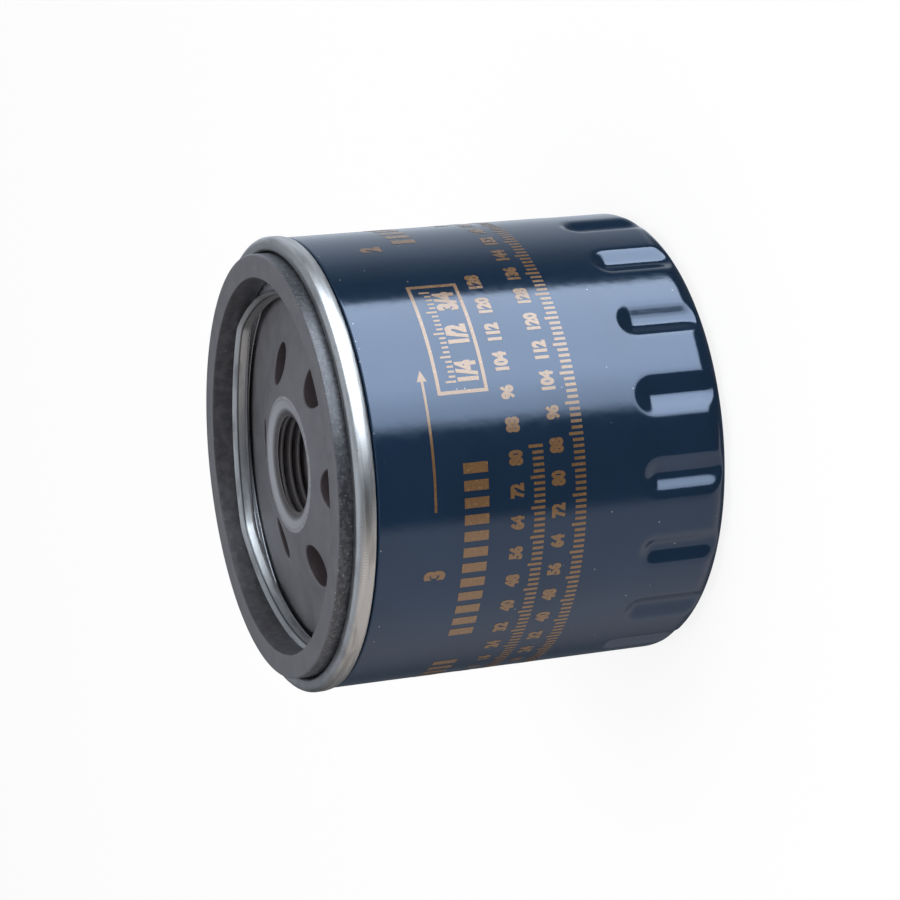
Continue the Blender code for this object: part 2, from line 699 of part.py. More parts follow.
def coil(name, radius, wire, bottom, top, turns, material, parent=None):
    """A compression spring with closed end turns, as round wire along a helix."""
    closed_pitch = SPRING_END_PITCH * wire
    rise = top - bottom - wire
    active = turns - 2
    active_pitch = (rise - 2 * closed_pitch) / active
    spline_points = []
    count = int(turns * SPRING_COLUMNS)
    for step in range(count + 1):
        wound = turns * step / count
        lower = closed_pitch * min(wound, 1)
        middle = active_pitch * min(max(wound - 1, 0), active)
        upper = closed_pitch * max(wound - 1 - active, 0)
        x, y = polar(radius, 2 * pi * wound)
        spline_points.append((x, y, bottom + wire / 2 + lower + middle + upper))
    curve = bpy.data.curves.new(name, "CURVE")
    curve.dimensions = "3D"
    curve.bevel_depth = wire / 2
    curve.bevel_resolution = 1
    curve.use_fill_caps = True
    spline = curve.splines.new("POLY")
    spline.points.add(count)
    for point, place in zip(spline.points, spline_points):
        point.co = (*place, 1.0)
    return add_object(name, curve, material, parent)


def make_axis(name, height, parent=None):
    """An empty on the filter's axis, which carries the pieces of one sliding body."""
    axis = bpy.data.objects.new(name, None)
    axis.empty_display_size = HUB_RADIUS
    axis.location = (0, 0, height - (parent.location.z if parent else 0))
    axis.parent = parent
    bpy.context.scene.collection.objects.link(axis)
    return axis


def keep_place(piece):
    """Holds a piece in place under a parent that stands higher on the axis."""
    piece.matrix_parent_inverse = Matrix.Translation(-Vector((0, 0, piece.parent.matrix_world.translation.z)))


def main():
    clear_scene()
    navy_paint = make_material("navy_paint", (0.012, 0.032, 0.078), 0.22, 0.0)
    tin_plate = make_material("tin_plate", (0.62, 0.61, 0.58), 0.30, 1.0)
    phosphate = make_material("phosphate_steel", (0.095, 0.095, 0.105), 0.55, 0.6)
    black_rubber = make_material("black_rubber", (0.10, 0.098, 0.102), 0.75, 0.0)
    valve_rubber = make_material("valve_rubber", (0.32, 0.09, 0.03), 0.65, 0.0)
    zinc_steel = make_material("zinc_steel", (0.55, 0.56, 0.58), 0.35, 1.0)
    spring_steel = make_material("spring_steel", (0.30, 0.30, 0.32), 0.35, 1.0)
    filter_paper = make_material("filter_paper", (0.62, 0.44, 0.20), 0.9, 0.0)
    adhesive = make_material("adhesive", (0.16, 0.15, 0.13), 0.5, 0.0)

    make_can(navy_paint)
    make_lid(tin_plate)
    make_seam_compound(adhesive)
    make_gasket(black_rubber)
    make_thread_plate(phosphate)
    make_anti_drain_valve(valve_rubber)
    spring_top = SPRING_BOTTOM + ELEMENT_SPRING_HEIGHT
    coil(
        "element_spring", ELEMENT_SPRING_RADIUS, ELEMENT_WIRE, SPRING_BOTTOM, spring_top,
        ELEMENT_SPRING_TURNS, spring_steel,
    )

    element = make_axis("element_slide", BOTTOM_CAP_UNDERSIDE)
    poppet = make_axis("poppet_slide", SEAL_BOTTOM, element)
    bpy.context.view_layer.update()
    riders = [
        make_top_cap(zinc_steel, element),
        make_adhesive("top_adhesive", MEDIA_TOP + RUBBER_GAP, adhesive, element),
        make_media(filter_paper, element),
        make_media_clip(zinc_steel, element),
        make_centre_tube(zinc_steel, element),
        make_adhesive("bottom_adhesive", BOTTOM_CAP_TOP + RUBBER_GAP, adhesive, element),
        make_bottom_cap(zinc_steel, element),
        make_bypass_seat(zinc_steel, element),
        make_bypass_cage(zinc_steel, element),
        coil(
            "bypass_spring", BYPASS_SPRING_RADIUS, BYPASS_WIRE, BYPASS_SPRING_BOTTOM, BYPASS_SPRING_TOP,
            BYPASS_SPRING_TURNS, spring_steel, element,
        ),
        make_bypass_seal(valve_rubber, poppet),
        make_bypass_poppet(zinc_steel, poppet),
    ]
    for piece in riders:
        keep_place(piece)


main()
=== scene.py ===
"""Dresses the spin-on oil filter: fine meshes for what shows, a finish for every piece, floor and light."""

from math import atan2, cos, hypot, pi, radians, sin, sqrt, tan

import bmesh
import bpy
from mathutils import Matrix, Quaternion, Vector


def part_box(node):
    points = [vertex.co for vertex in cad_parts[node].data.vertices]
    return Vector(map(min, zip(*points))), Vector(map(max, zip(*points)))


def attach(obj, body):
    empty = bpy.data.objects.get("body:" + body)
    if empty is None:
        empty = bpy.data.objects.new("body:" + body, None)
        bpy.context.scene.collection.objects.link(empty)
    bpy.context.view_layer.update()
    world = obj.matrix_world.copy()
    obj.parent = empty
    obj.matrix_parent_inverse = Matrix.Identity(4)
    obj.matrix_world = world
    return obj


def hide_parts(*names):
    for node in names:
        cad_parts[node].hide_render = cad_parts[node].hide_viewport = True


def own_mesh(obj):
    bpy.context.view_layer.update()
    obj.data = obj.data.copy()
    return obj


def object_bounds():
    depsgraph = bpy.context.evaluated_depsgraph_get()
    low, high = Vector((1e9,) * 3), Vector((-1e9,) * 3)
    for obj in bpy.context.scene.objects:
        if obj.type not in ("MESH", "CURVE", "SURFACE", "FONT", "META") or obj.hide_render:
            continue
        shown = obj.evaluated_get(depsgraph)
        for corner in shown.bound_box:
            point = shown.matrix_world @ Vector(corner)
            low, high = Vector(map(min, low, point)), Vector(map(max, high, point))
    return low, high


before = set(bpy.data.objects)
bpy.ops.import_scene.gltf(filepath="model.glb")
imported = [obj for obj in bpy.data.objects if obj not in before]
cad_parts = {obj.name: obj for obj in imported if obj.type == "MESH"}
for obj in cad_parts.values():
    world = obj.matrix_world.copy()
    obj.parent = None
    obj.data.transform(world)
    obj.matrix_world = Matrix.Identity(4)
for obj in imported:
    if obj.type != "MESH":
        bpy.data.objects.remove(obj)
CAD_BOX = [list(corner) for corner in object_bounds()]

MM = 0.001
SMOOTH_ANGLE = radians(32)
ON_AXIS = 0.03 * MM
LID_LOW, LID_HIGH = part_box("seaming_lid")
GASKET_LOW, GASKET_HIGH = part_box("gasket")
PLATE_LOW, PLATE_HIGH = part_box("thread_plate")

# Can
BEAD_RADIUS = LID_HIGH.x
SEAM_PROUD = 0.37 * MM
CAN_RADIUS = BEAD_RADIUS - SEAM_PROUD
CAN_SHEET = 0.5 * MM
CAN_CORNER = 4.2 * MM
CAN_CORNER_STEPS = 16
CAN_FLANGE_DROP = 0.5 * MM
SEAM_GAP = 0.2 * MM
CAN_COLUMNS = 432
WALL_ROW = 0.4 * MM
DISH_RADIUS = 20.0 * MM
DISH_WIDTH = 2.0 * MM
DISH_DEPTH = 0.8 * MM
DISH_BEND = 1.6 * MM
FLUTE_COUNT = 18
FLUTE_PHASE = radians(-2.2)
FLUTE_WIDTH = 7.2 * MM
FLUTE_DEPTH = 1.2 * MM
FLUTE_TOP = 16.7 * MM
NECK_LENGTH = 0.35 * MM
NECK_STEP = 0.93 * MM
NECK_BEND = 0.35 * MM

# Seaming lid
SHEET = 0.45 * MM
SHEET_EDGE = SHEET / 4
SHEET_EDGE_ANGLE = radians(60)
LID_COLUMNS = 480
LID_BEND_STEPS = 10
LID_SMOOTH_ANGLE = radians(12)
SEAM_BOTTOM = LID_LOW.z
SEAM_TOP = LID_HIGH.z
CHUCK_CLEARANCE = 0.7 * MM
CHUCK_RADIUS = GASKET_HIGH.x + CHUCK_CLEARANCE
GROOVE_FLOOR = GASKET_LOW.z - SEAM_GAP
BEAD_BEND = 3.0 * MM
BEAD_SHOULDER = 0.9 * MM
CHUCK_SHOULDER = 0.4 * MM
HOOK_HEIGHT = 1.05 * MM
HOOK_BEND = 0.25 * MM
HOOK_TUCK = 0.19 * MM
COLLAR_HEIGHT = 2.2 * MM
COLLAR_LIP = GROOVE_FLOOR + COLLAR_HEIGHT
COLLAR_BAND = 0.75 * MM
COLLAR_BEND = 0.3 * MM
COLLAR_FLARE = 0.45 * MM
COLLAR_FOOT = 0.4 * MM
COLLAR_FOLD = 0.42 * MM
COLLAR_GAP = 0.12 * MM
CRIMP_COUNT = 5
CRIMP_PHASE = radians(37.7)
CRIMP_DEPTH = 2.2 * MM
CRIMP_ROUNDING = radians(1.8)

# Gasket
GASKET_WIDTH = 3.95 * MM
GASKET_INSIDE = GASKET_HIGH.x - GASKET_WIDTH
GASKET_OUTSIDE = GASKET_HIGH.x
GASKET_EDGE = 0.35 * MM
GASKET_LIP = 0.15 * MM

# Thread plate
HUB_TOP = PLATE_HIGH.z
HUB_BOTTOM = PLATE_LOW.z
THREAD_MINOR = 8.2 * MM
THREAD_PITCH = 1.5 * MM
THREAD_DEPTH = 0.55 * MM
THREAD_CREST = 0.1875
THREAD_ROOT = (0.5, 0.6875)
THREAD_ROWS = 16
THREAD_CHAMFER = 0.95 * MM
HUB_RADIUS = 11.2 * MM
HUB_FUNNEL_DEPTH = 0.45 * MM
HUB_FUNNEL_BEND = 4.0 * MM
HUB_SLEEVE = 10.8 * MM
HUB_EDGE = 0.3 * MM
PLATE_THICKNESS = 2.6 * MM
PLATE_GAP = 0.12 * MM
PLATE_FLANGE = GROOVE_FLOOR - SHEET - PLATE_GAP
CLAMP_LAND = HUB_SLEEVE + 2.0 * MM
CLAMP_STEP = 0.7 * MM
CHANNEL_DEPTH = 1.8 * MM
CHANNEL_INSIDE = 26.65 * MM
CHANNEL_WIDTH = 2.5 * MM
CHANNEL_FOOT = 1.5 * MM
GUTTER_DEPTH = 1.0 * MM
GUTTER_OUTSIDE = 31.3 * MM
GUTTER_INSIDE = 29.6 * MM
GUTTER_BEND = 0.25 * MM
GUTTER_RISE = 0.25 * MM
INLET_COUNT = 6
INLET_RADIUS = 3.55 * MM
INLET_PITCH = 17.8 * MM
INLET_PHASE = radians(14.1)
INLET_EDGE = 0.28 * MM
INLET_EDGE_STEPS = 5
INLET_MARGIN = 0.9 * MM
WEB_INSIDE = INLET_PITCH - INLET_RADIUS - INLET_MARGIN
WEB_OUTSIDE = INLET_PITCH + INLET_RADIUS + INLET_MARGIN
WEB_RING_SHARES = (1.0, 0.7, 0.45, 0.25, 0.1)
SECTOR_COLUMNS = 40
WELD_DISTANCE = 0.001 * MM

# Springs
SPRING_COLUMNS = 48
WIRE_SIDES = 12
CLOSED_PITCH = 1.15
GROUND_SHARE = 1 / 8

# Printing: heights above the closed end, and angles round the can
PRINT_RISE = 0.03 * MM
PRINT_STEP = 0.5 * MM
PRINT_WELD = 0.0001 * MM
LARGE_NUMERAL = 3.7 * MM
SMALL_NUMERAL = 2.45 * MM
FRACTION_NARROWING = 0.68
POSITION_ANGLES = {"3": -121.7, "2": -28.0, "1": 62.0, "4": 152.0}
POSITION_LEVEL = 50.2 * MM
FRAME_START = radians(-77.3)
FRAME_END = radians(-46.0)
FRAME_LINE = 0.6 * MM
FRAME_LOW = 41.45 * MM
FRAME_HIGH = 50.1 * MM
FRACTION_ANGLES = {"1/4": 5.7, "1/2": 15.65, "3/4": 25.6}
FRACTION_LEVEL = 42.6 * MM
FRAME_TICK_COUNT = 21
FRAME_TICK_START = 1.9 * MM
FRAME_TICK_PITCH = 0.85 * MM
FRAME_TICK_RISE = 5.1 * MM
FRAME_TICK_WIDTH = 0.35 * MM
FRAME_TICK_HEIGHTS = (1.8 * MM, 1.1 * MM)
ARROW_TAIL = radians(-105.2)
ARROW_TIP = radians(-70.6)
ARROW_HEAD = 1.9 * MM
ARROW_HALF_WIDTH = 0.85 * MM
ARROW_LINE = 0.44 * MM
ARROW_LEVEL = 52.3 * MM
STRIP_STARTS = (radians(-143), radians(-25.5))
STRIP_LEVEL = 43.2 * MM
STRIP_BARS = 12
STRIP_PITCH = 2.8 * MM
STRIP_BAR_WIDTH = 1.7 * MM
STRIP_BAR_HEIGHT = 4.2 * MM
DEGREE_STEP = 8
DEGREE_ROW_START = -174
DEGREE_ROW_LEVEL = 37.1 * MM
DEGREE_ROW_COUNT = 17
DEGREE_RING_START = -180
DEGREE_RING_LEVEL = 29.95 * MM
DEGREE_RING_COUNT = 45
TALL_TICK_EVERY = 5
TICK_HEIGHTS = (2.45 * MM, 1.9 * MM)
TICK_WIDTH = 0.5 * MM
SHORT_RULE_START = radians(-190)
SHORT_RULE_PITCH = 1.0 * MM
SHORT_RULE_LEVEL = 33.55 * MM
SHORT_RULE_TICKS = 66
LONG_RULE_STEP = 1.5
LONG_RULE_LEVEL = 26.35 * MM
LONG_RULE_TICKS = 240

# Colours; a pair is the range that a mottled surface spans
NAVY = (0.0128, 0.0368, 0.081)
PAINT_DUST = (0.50, 0.52, 0.55)
TIN = ((0.25, 0.245, 0.238), (0.64, 0.63, 0.615))
DULL_TIN = (0.23, 0.222, 0.212)
# Painted highlight along the collar's foot
FOOT_HIGHLIGHT = (0.95, 0.95, 0.95)
# Painted shade for the collar's crease
CREASE_SHADE = (0.10, 0.098, 0.10)
SPECK = (0.10, 0.09, 0.08)
BRONZE = ((0.187, 0.097, 0.037), (0.243, 0.127, 0.047))
RUBBER_FACE = ((0.090, 0.088, 0.097), (0.114, 0.111, 0.121))
# Painted shade for the gasket's walls
SHADED_RUBBER_WALL = ((0.030, 0.030, 0.036), (0.046, 0.047, 0.055))
RUBBER_SMUDGE = (0.110, 0.107, 0.118)
RUBBER_SCUFF = (0.105, 0.112, 0.128)
RUBBER_DUST = (0.50, 0.53, 0.58)
PHOSPHATE = ((0.110, 0.108, 0.117), (0.150, 0.147, 0.159))
PHOSPHATE_GRIT = (0.145, 0.142, 0.155)
# Painted light for the hub's funnel
FUNNEL_PAINTED_LIGHT = (0.30, 0.305, 0.33)
WORN_EDGE = (0.34, 0.34, 0.36)
# Painted shade for the gutter beside the collar
GUTTER_SHADE = (0.022, 0.021, 0.024)
RUBBED_STEEL = (0.42, 0.42, 0.43)
DARK_BORE = (0.040, 0.032, 0.033)
TOOL_MARK = (0.26, 0.25, 0.26)
# Painted highlight for the thread's crests
CREST_HIGHLIGHT = (0.20, 0.185, 0.19)
INLET_WALL = (0.11, 0.09, 0.098)

# Size of the streaks that drawing and cutting leave
STREAK_SIZE = 0.35 * MM

# Studio, as gloss shows it: heights are shares of a direction's length, and azimuths are degrees from -Y
# towards +X; each edge is the pair of values that it fades between
WINDOW_HEIGHT = ((-0.64, -0.50), (0.40, 0.08))
SOFTBOX_EDGES = ((8, 16), (84, 81))
BRIGHT_SIDE_EDGES = ((14, 36), (84, 81))
FRONT_SHARE = 0.66
BACK_WALL_EDGES = ((92, 132), (176, 165))
TABLE_EDGES = ((-152, -90), (-34, -42))
TABLE_HEIGHT = (0.5, 0.2)
CEILING_HEIGHT = (0.15, 0.9)
CEILING_LIGHT = (0.10, 0.85)
WORLD_LIGHT = 0.55
SOFTBOX_LIGHT = 8.4
BACK_WALL_LIGHT = 0.75
TABLE_LIGHT = 0.82
ROOM_COLOUR = (0.84, 0.93, 1.06)
SOFTBOX_COLOUR = (0.80, 0.90, 1.02)
TABLE_COLOUR = (1.0, 0.93, 0.90)
FLOOR_RADIUS = 6.0
FLOOR_DROP = 0.02 * MM
FLOOR_GREY = 0.8
FLOOR_GLOW = 1.06
FLOOR_GLOW_SHARE = 0.82
LAMP_PLACE = (0.12, -0.2, 0.75)
LAMP_SIZE = 0.5
LAMP_POWER = 2.6

# Camera
CAMERA_LENS = 116.62
CAMERA_SENSOR = 36.0
CAMERA_NEAR = 0.02
CAMERA_DISTANCE = 0.5
CAMERA_TILT = radians(20.677)
CAMERA_ROLL = radians(-95.968)
CAMERA_PIVOT_HEIGHT = 0.0345
CAMERA_TARGET = (-0.000355, 0, 0.035047)


# Meshes


def finish_piece(name, bm, material, body, smooth_angle=SMOOTH_ANGLE):
    """Links a mesh as one named piece that rides on a body and takes its finish from a slot."""
    mesh = bpy.data.meshes.new(name)
    bm.to_mesh(mesh)
    bm.free()
    piece = bpy.data.objects.new(name, mesh)
    bpy.context.scene.collection.objects.link(piece)
    mesh.materials.append(material)
    mesh.shade_smooth()
    mesh.set_sharp_from_angle(angle=smooth_angle)
    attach(piece, body)
    return piece


def rounded(corners, steps=6):
    """The points of a path whose corners, given as (radius, height, bend), are rounded by arcs."""
    points = [corners[0][:2]]
    for before, corner, after in zip(corners, corners[1:], corners[2:]):
        here = Vector(corner[:2])
        back = (Vector(before[:2]) - here).normalized()
        ahead = (Vector(after[:2]) - here).normalized()
        half = back.angle(ahead) / 2
        if not corner[2]:
            points.append(corner[:2])
            continue
        centre = here + (back + ahead).normalized() * (corner[2] / sin(half))
        start = here + back * (corner[2] / tan(half)) - centre
        side = 1 if back.cross(ahead) < 0 else -1
        for step in range(steps + 1):
            swing = side * (pi - 2 * half) * step / steps
            across = start.x * cos(swing) - start.y * sin(swing)
            along = start.x * sin(swing) + start.y * cos(swing)
            points.append(tuple(centre + Vector((across, along))))
    points.append(corners[-1][:2])
    return points


def turned(path, columns, closed=False):
    """A path of (radius, height) turned about the Z axis; its right side faces outwards."""
    bm = bmesh.new()
    rings = []
    for radius, height in path:
        if radius < ON_AXIS:
            rings.append([bm.verts.new((0, 0, height))] * columns)
            continue
        angles = [2 * pi * column / columns for column in range(columns)]
        rings.append([bm.verts.new((radius * cos(a), radius * sin(a), height)) for a in angles])
    if closed:
        rings.append(rings[0])
    for lower, upper in zip(rings, rings[1:]):
        for column in range(columns):
            after = (column + 1) % columns
            corners = [lower[column], lower[after], upper[after], upper[column]]
            bm.faces.new(list(dict.fromkeys(corners)))
    return bm


def thicken(piece, thickness, offset=0.0):
    """Gives a turned surface the thickness of its sheet."""
    sheet = piece.modifiers.new("Sheet", "SOLIDIFY")
    sheet.thickness = thickness
    sheet.offset = offset
    sheet.use_even_offset = True


def flute_depth(angle, along):
    """How deep the nearest flute is pressed, at a place round the can and along its wall."""
    pitch = 2 * pi / FLUTE_COUNT
    offset = (angle - FLUTE_PHASE + pitch / 2) % pitch - pitch / 2
    straight = FLUTE_TOP - CAN_CORNER - FLUTE_WIDTH / 2
    distance = hypot(offset * CAN_RADIUS, max(0.0, along - straight, -along))
    return FLUTE_DEPTH * cos(pi * min(distance / FLUTE_WIDTH, 0.5)) ** 2


def draw_in(vert, depth):
    """Moves a point towards the axis."""
    radius = vert.co.xy.length
    vert.co.x *= 1 - depth / radius
    vert.co.y *= 1 - depth / radius


def press_flutes(bm):
    """Presses the gripping flutes into the wall and round the closed end's corner."""
    for vert in bm.verts:
        radius = vert.co.xy.length
        if radius < CAN_RADIUS - CAN_CORNER or vert.co.z > FLUTE_TOP:
            continue
        along = vert.co.z - CAN_CORNER
        if along < 0:
            along = -CAN_CORNER * atan2(-along, radius - CAN_RADIUS + CAN_CORNER)
        draw_in(vert, flute_depth(atan2(vert.co.y, vert.co.x), along))


def make_can(material):
    """The drawn can, from the middle of its closed end up to its flange inside the seam."""
    wall_top = SEAM_BOTTOM - NECK_LENGTH
    neck = CAN_RADIUS - NECK_STEP
    lower = rounded(
        [
            (0, DISH_DEPTH, 0),
            (DISH_RADIUS, DISH_DEPTH, DISH_BEND),
            (DISH_RADIUS + DISH_WIDTH, 0, DISH_BEND),
            (CAN_RADIUS, 0, CAN_CORNER),
            (CAN_RADIUS, FLUTE_TOP, 0),
        ],
        CAN_CORNER_STEPS,
    )[:-1]
    rows = int((FLUTE_TOP - CAN_CORNER) / WALL_ROW)
    wall = [(CAN_RADIUS, CAN_CORNER + WALL_ROW * row) for row in range(1, rows + 2)]
    flange = SEAM_TOP - 2 * SHEET - CAN_SHEET - CAN_FLANGE_DROP
    upper = rounded(
        [
            (CAN_RADIUS, wall_top - NECK_BEND, 0),
            (CAN_RADIUS, wall_top, NECK_BEND),
            (neck, SEAM_BOTTOM, NECK_BEND / 2),
            (neck, flange, SHEET),
            (BEAD_RADIUS - SHEET - SEAM_GAP, flange, 0),
        ]
    )
    bm = turned(lower + wall + upper, CAN_COLUMNS)
    press_flutes(bm)
    can = finish_piece("can_shell", bm, material, "housing")
    thicken(can, CAN_SHEET, -1.0)
    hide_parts("canister")


def collar_radius(angle, corner):
    """A collar expanded by a segmented tool: shallow arcs that meet in rounded outward corners."""
    half = pi / CRIMP_COUNT
    offset = hypot((angle - CRIMP_PHASE + half) % (2 * half) - half, CRIMP_ROUNDING)
    middle = corner - CRIMP_DEPTH
    rise = middle - corner * cos(half)
    bend = ((corner * sin(half)) ** 2 + rise**2) / (2 * rise)
    centre = bend - middle
    swing = half - offset
    return sqrt(bend**2 - (centre * sin(swing)) ** 2) - centre * cos(swing)


def make_lid(material):
    """The seaming lid: the outer curl of the double seam, the gasket groove and the crimped collar."""
    half = SHEET / 2
    panel = BEAD_RADIUS - half
    top = SEAM_TOP - half
    chuck = CHUCK_RADIUS - half
    floor = GROOVE_FLOOR - half
    collar = GASKET_INSIDE - COLLAR_GAP - COLLAR_FLARE - half
    crease = COLLAR_LIP - COLLAR_BAND
    hook = CAN_RADIUS - NECK_STEP + SEAM_GAP + half
    corners = [
        (hook, SEAM_BOTTOM + HOOK_HEIGHT, 0),
        (hook, SEAM_BOTTOM + half, HOOK_BEND),
        (panel - HOOK_TUCK, SEAM_BOTTOM + half, HOOK_BEND),
        (panel, SEAM_BOTTOM + HOOK_HEIGHT, BEAD_BEND),
        (panel, top, BEAD_SHOULDER),
        (chuck, top, CHUCK_SHOULDER),
        (chuck, floor, half),
        (collar - COLLAR_FOLD, floor, COLLAR_FOOT),
        (collar, crease, COLLAR_BEND),
        (collar + COLLAR_FLARE, COLLAR_LIP, 0),
    ]
    bm = turned(rounded(corners, LID_BEND_STEPS), LID_COLUMNS)
    for vert in bm.verts:
        if vert.co.xy.length < collar + COLLAR_FLARE + half:
            draw_in(vert, collar - collar_radius(atan2(vert.co.y, vert.co.x), collar))
    lid = finish_piece("lid_shell", bm, material, "housing", LID_SMOOTH_ANGLE)
    thicken(lid, SHEET)
    edge = lid.modifiers.new("Sheared edge", "BEVEL")
    edge.width = SHEET_EDGE
    edge.segments = 2
    edge.angle_limit = SHEET_EDGE_ANGLE
    lid.shadow_terminator_geometry_offset = 0.0
    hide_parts("seaming_lid")


def make_gasket(material):
    """A ring of rectangular section, with softened edges and a sharper inner lip."""
    low, high = GASKET_LOW.z, GASKET_HIGH.z
    middle = (GASKET_INSIDE + GASKET_OUTSIDE) / 2
    corners = [
        (middle, low, 0),
        (GASKET_OUTSIDE, low, GASKET_EDGE),
        (GASKET_OUTSIDE, high, GASKET_EDGE),
        (GASKET_INSIDE, high, GASKET_LIP),
        (GASKET_INSIDE, low, GASKET_EDGE),
        (middle, low, 0),
    ]
    bm = turned(rounded(corners)[:-1], LID_COLUMNS, closed=True)
    gasket = finish_piece("gasket_ring", bm, material, "housing")
    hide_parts("gasket")


# Thread plate


def web_height(radius):
    """The height of the dished web's upper side between the hub and the channel."""
    share = (radius - HUB_RADIUS) / (CHANNEL_INSIDE - HUB_RADIUS)
    return HUB_TOP + (PLATE_FLANGE - CHANNEL_DEPTH - HUB_TOP) * share


def plate_rings(bm, path, columns, first_angle):
    """A band of the plate that has no holes; its columns meet those of the web's sectors."""
    rings = []
    for radius, height in path:
        angles = [first_angle + 2 * pi * column / columns for column in range(columns)]
        rings.append([bm.verts.new((radius * cos(a), radius * sin(a), height)) for a in angles])
    for lower, upper in zip(rings, rings[1:]):
        for column in range(columns):
            after = (column + 1) % columns
            bm.faces.new([lower[column], lower[after], upper[after], upper[column]])


def web_floor(radius):
    """The height of the web's underside, from the land that clamps the valve to the channel."""
    top = HUB_TOP - PLATE_THICKNESS - CLAMP_STEP
    share = (radius - CLAMP_LAND) / (CHANNEL_INSIDE - CLAMP_LAND)
    return top + (PLATE_FLANGE - CHANNEL_DEPTH - PLATE_THICKNESS - top) * share


def sector_outline(middle):
    """Points round one sector of the web, counter-clockwise seen from above."""
    half = pi / INLET_COUNT
    side_steps = SECTOR_COLUMNS // 2
    across = [middle - half + 2 * half * step / SECTOR_COLUMNS for step in range(SECTOR_COLUMNS)]
    upright = [WEB_INSIDE + (WEB_OUTSIDE - WEB_INSIDE) * step / side_steps for step in range(side_steps)]
    points = [(WEB_OUTSIDE, angle) for angle in across]
    points += [(WEB_OUTSIDE + WEB_INSIDE - radius, middle + half) for radius in upright]
    points += [(WEB_INSIDE, 2 * middle - angle) for angle in across]
    points += [(radius, middle - half) for radius in upright]
    return [Vector((radius * cos(angle), radius * sin(angle))) for radius, angle in points]


def web_sector(bm, middle):
    """One sector of the web with its oil inlet, whose upper edge is rounded."""
    centre = Vector((INLET_PITCH * cos(middle), INLET_PITCH * sin(middle)))
    outline = sector_outline(middle)
    spokes = [(point - centre).normalized() for point in outline]
    rings = []
    for share in WEB_RING_SHARES:
        ring = []
        for point, spoke in zip(outline, spokes):
            edge = centre + spoke * (INLET_RADIUS + INLET_EDGE)
            place = edge.lerp(point, share)
            ring.append((*place, web_height(place.length)))
        rings.append(ring)
    for step in range(INLET_EDGE_STEPS + 1):
        turn = pi / 2 * step / INLET_EDGE_STEPS
        reach = INLET_RADIUS + INLET_EDGE * (1 - sin(turn))
        places = [centre + spoke * reach for spoke in spokes]
        rings.append([(*p, web_height(p.length) - INLET_EDGE * (1 - cos(turn))) for p in places])
    rim = [centre + spoke * INLET_RADIUS for spoke in spokes]
    for share in (0.5, 1.0):
        rings.append([(*p, web_height(p.length) * (1 - share) + web_floor(p.length) * share) for p in rim])
    rings.append([(*point, web_floor(point.length)) for point in outline])
    made = [[bm.verts.new(place) for place in ring] for ring in rings]
    count = len(outline)
    for outer, inner in zip(made, made[1:]):
        for number in range(count):
            after = (number + 1) % count
            bm.faces.new([outer[number], outer[after], inner[after], inner[number]])


def thread_radius(share):
    """The radius of an internal thread at a share of its pitch: a flat crest, two flanks and a flat root."""
    root_start, root_end = THREAD_ROOT
    if share <= THREAD_CREST:
        return THREAD_MINOR
    if share < root_start:
        return THREAD_MINOR + THREAD_DEPTH * (share - THREAD_CREST) / (root_start - THREAD_CREST)
    if share <= root_end:
        return THREAD_MINOR + THREAD_DEPTH
    return THREAD_MINOR + THREAD_DEPTH * (1 - share) / (1 - root_end)


def cut_thread(bm, columns, first_angle):
    """A right-handed thread in the hub, which starts at the foot of the funnel and ends in a chamfer."""
    start = HUB_TOP - THREAD_CHAMFER
    pitches = int((start - HUB_BOTTOM) / THREAD_PITCH) + 3
    grid = []
    for column in range(columns):
        angle = first_angle + 2 * pi * column / columns
        line = []
        for row in range(THREAD_ROWS * pitches):
            rise = row / THREAD_ROWS + column / columns - 1
            height = min(max(HUB_BOTTOM + THREAD_PITCH * rise, HUB_BOTTOM), start)
            chamfer = THREAD_MINOR + THREAD_CHAMFER - (height - HUB_BOTTOM)
            depth = thread_radius(row % THREAD_ROWS / THREAD_ROWS) - THREAD_MINOR
            depth = min(depth, start - height)
            radius = max(THREAD_MINOR + depth, chamfer)
            if height == HUB_BOTTOM:
                radius = THREAD_MINOR + THREAD_CHAMFER
            line.append(bm.verts.new((radius * cos(angle), radius * sin(angle), height)))
        grid.append(line)
    grid.append(grid[0][THREAD_ROWS:])
    for left, right in zip(grid, grid[1:]):
        for (a, b), (c, d) in zip(zip(left, left[1:]), zip(right, right[1:])):
            bm.faces.new([a, b, d, c])


def hub_path():
    """The plate's section from the web over the hub's edge and down its funnel to the thread."""
    return [
        (WEB_INSIDE, web_height(WEB_INSIDE), 0),
        (HUB_RADIUS, HUB_TOP, HUB_EDGE),
        (THREAD_MINOR + THREAD_CHAMFER, HUB_TOP - HUB_FUNNEL_DEPTH, HUB_FUNNEL_BEND),
        (THREAD_MINOR, HUB_TOP - THREAD_CHAMFER, 0),
    ]


def sleeve_path():
    """The section from the thread's lower end up the hub's outside and along the land to the web."""
    return [
        (THREAD_MINOR + THREAD_CHAMFER, HUB_BOTTOM, 0),
        (HUB_SLEEVE, HUB_BOTTOM, HUB_EDGE),
        (HUB_SLEEVE, web_floor(CLAMP_LAND), HUB_EDGE),
        (CLAMP_LAND, web_floor(CLAMP_LAND), 0),
        (WEB_INSIDE, web_floor(WEB_INSIDE), 0),
    ]


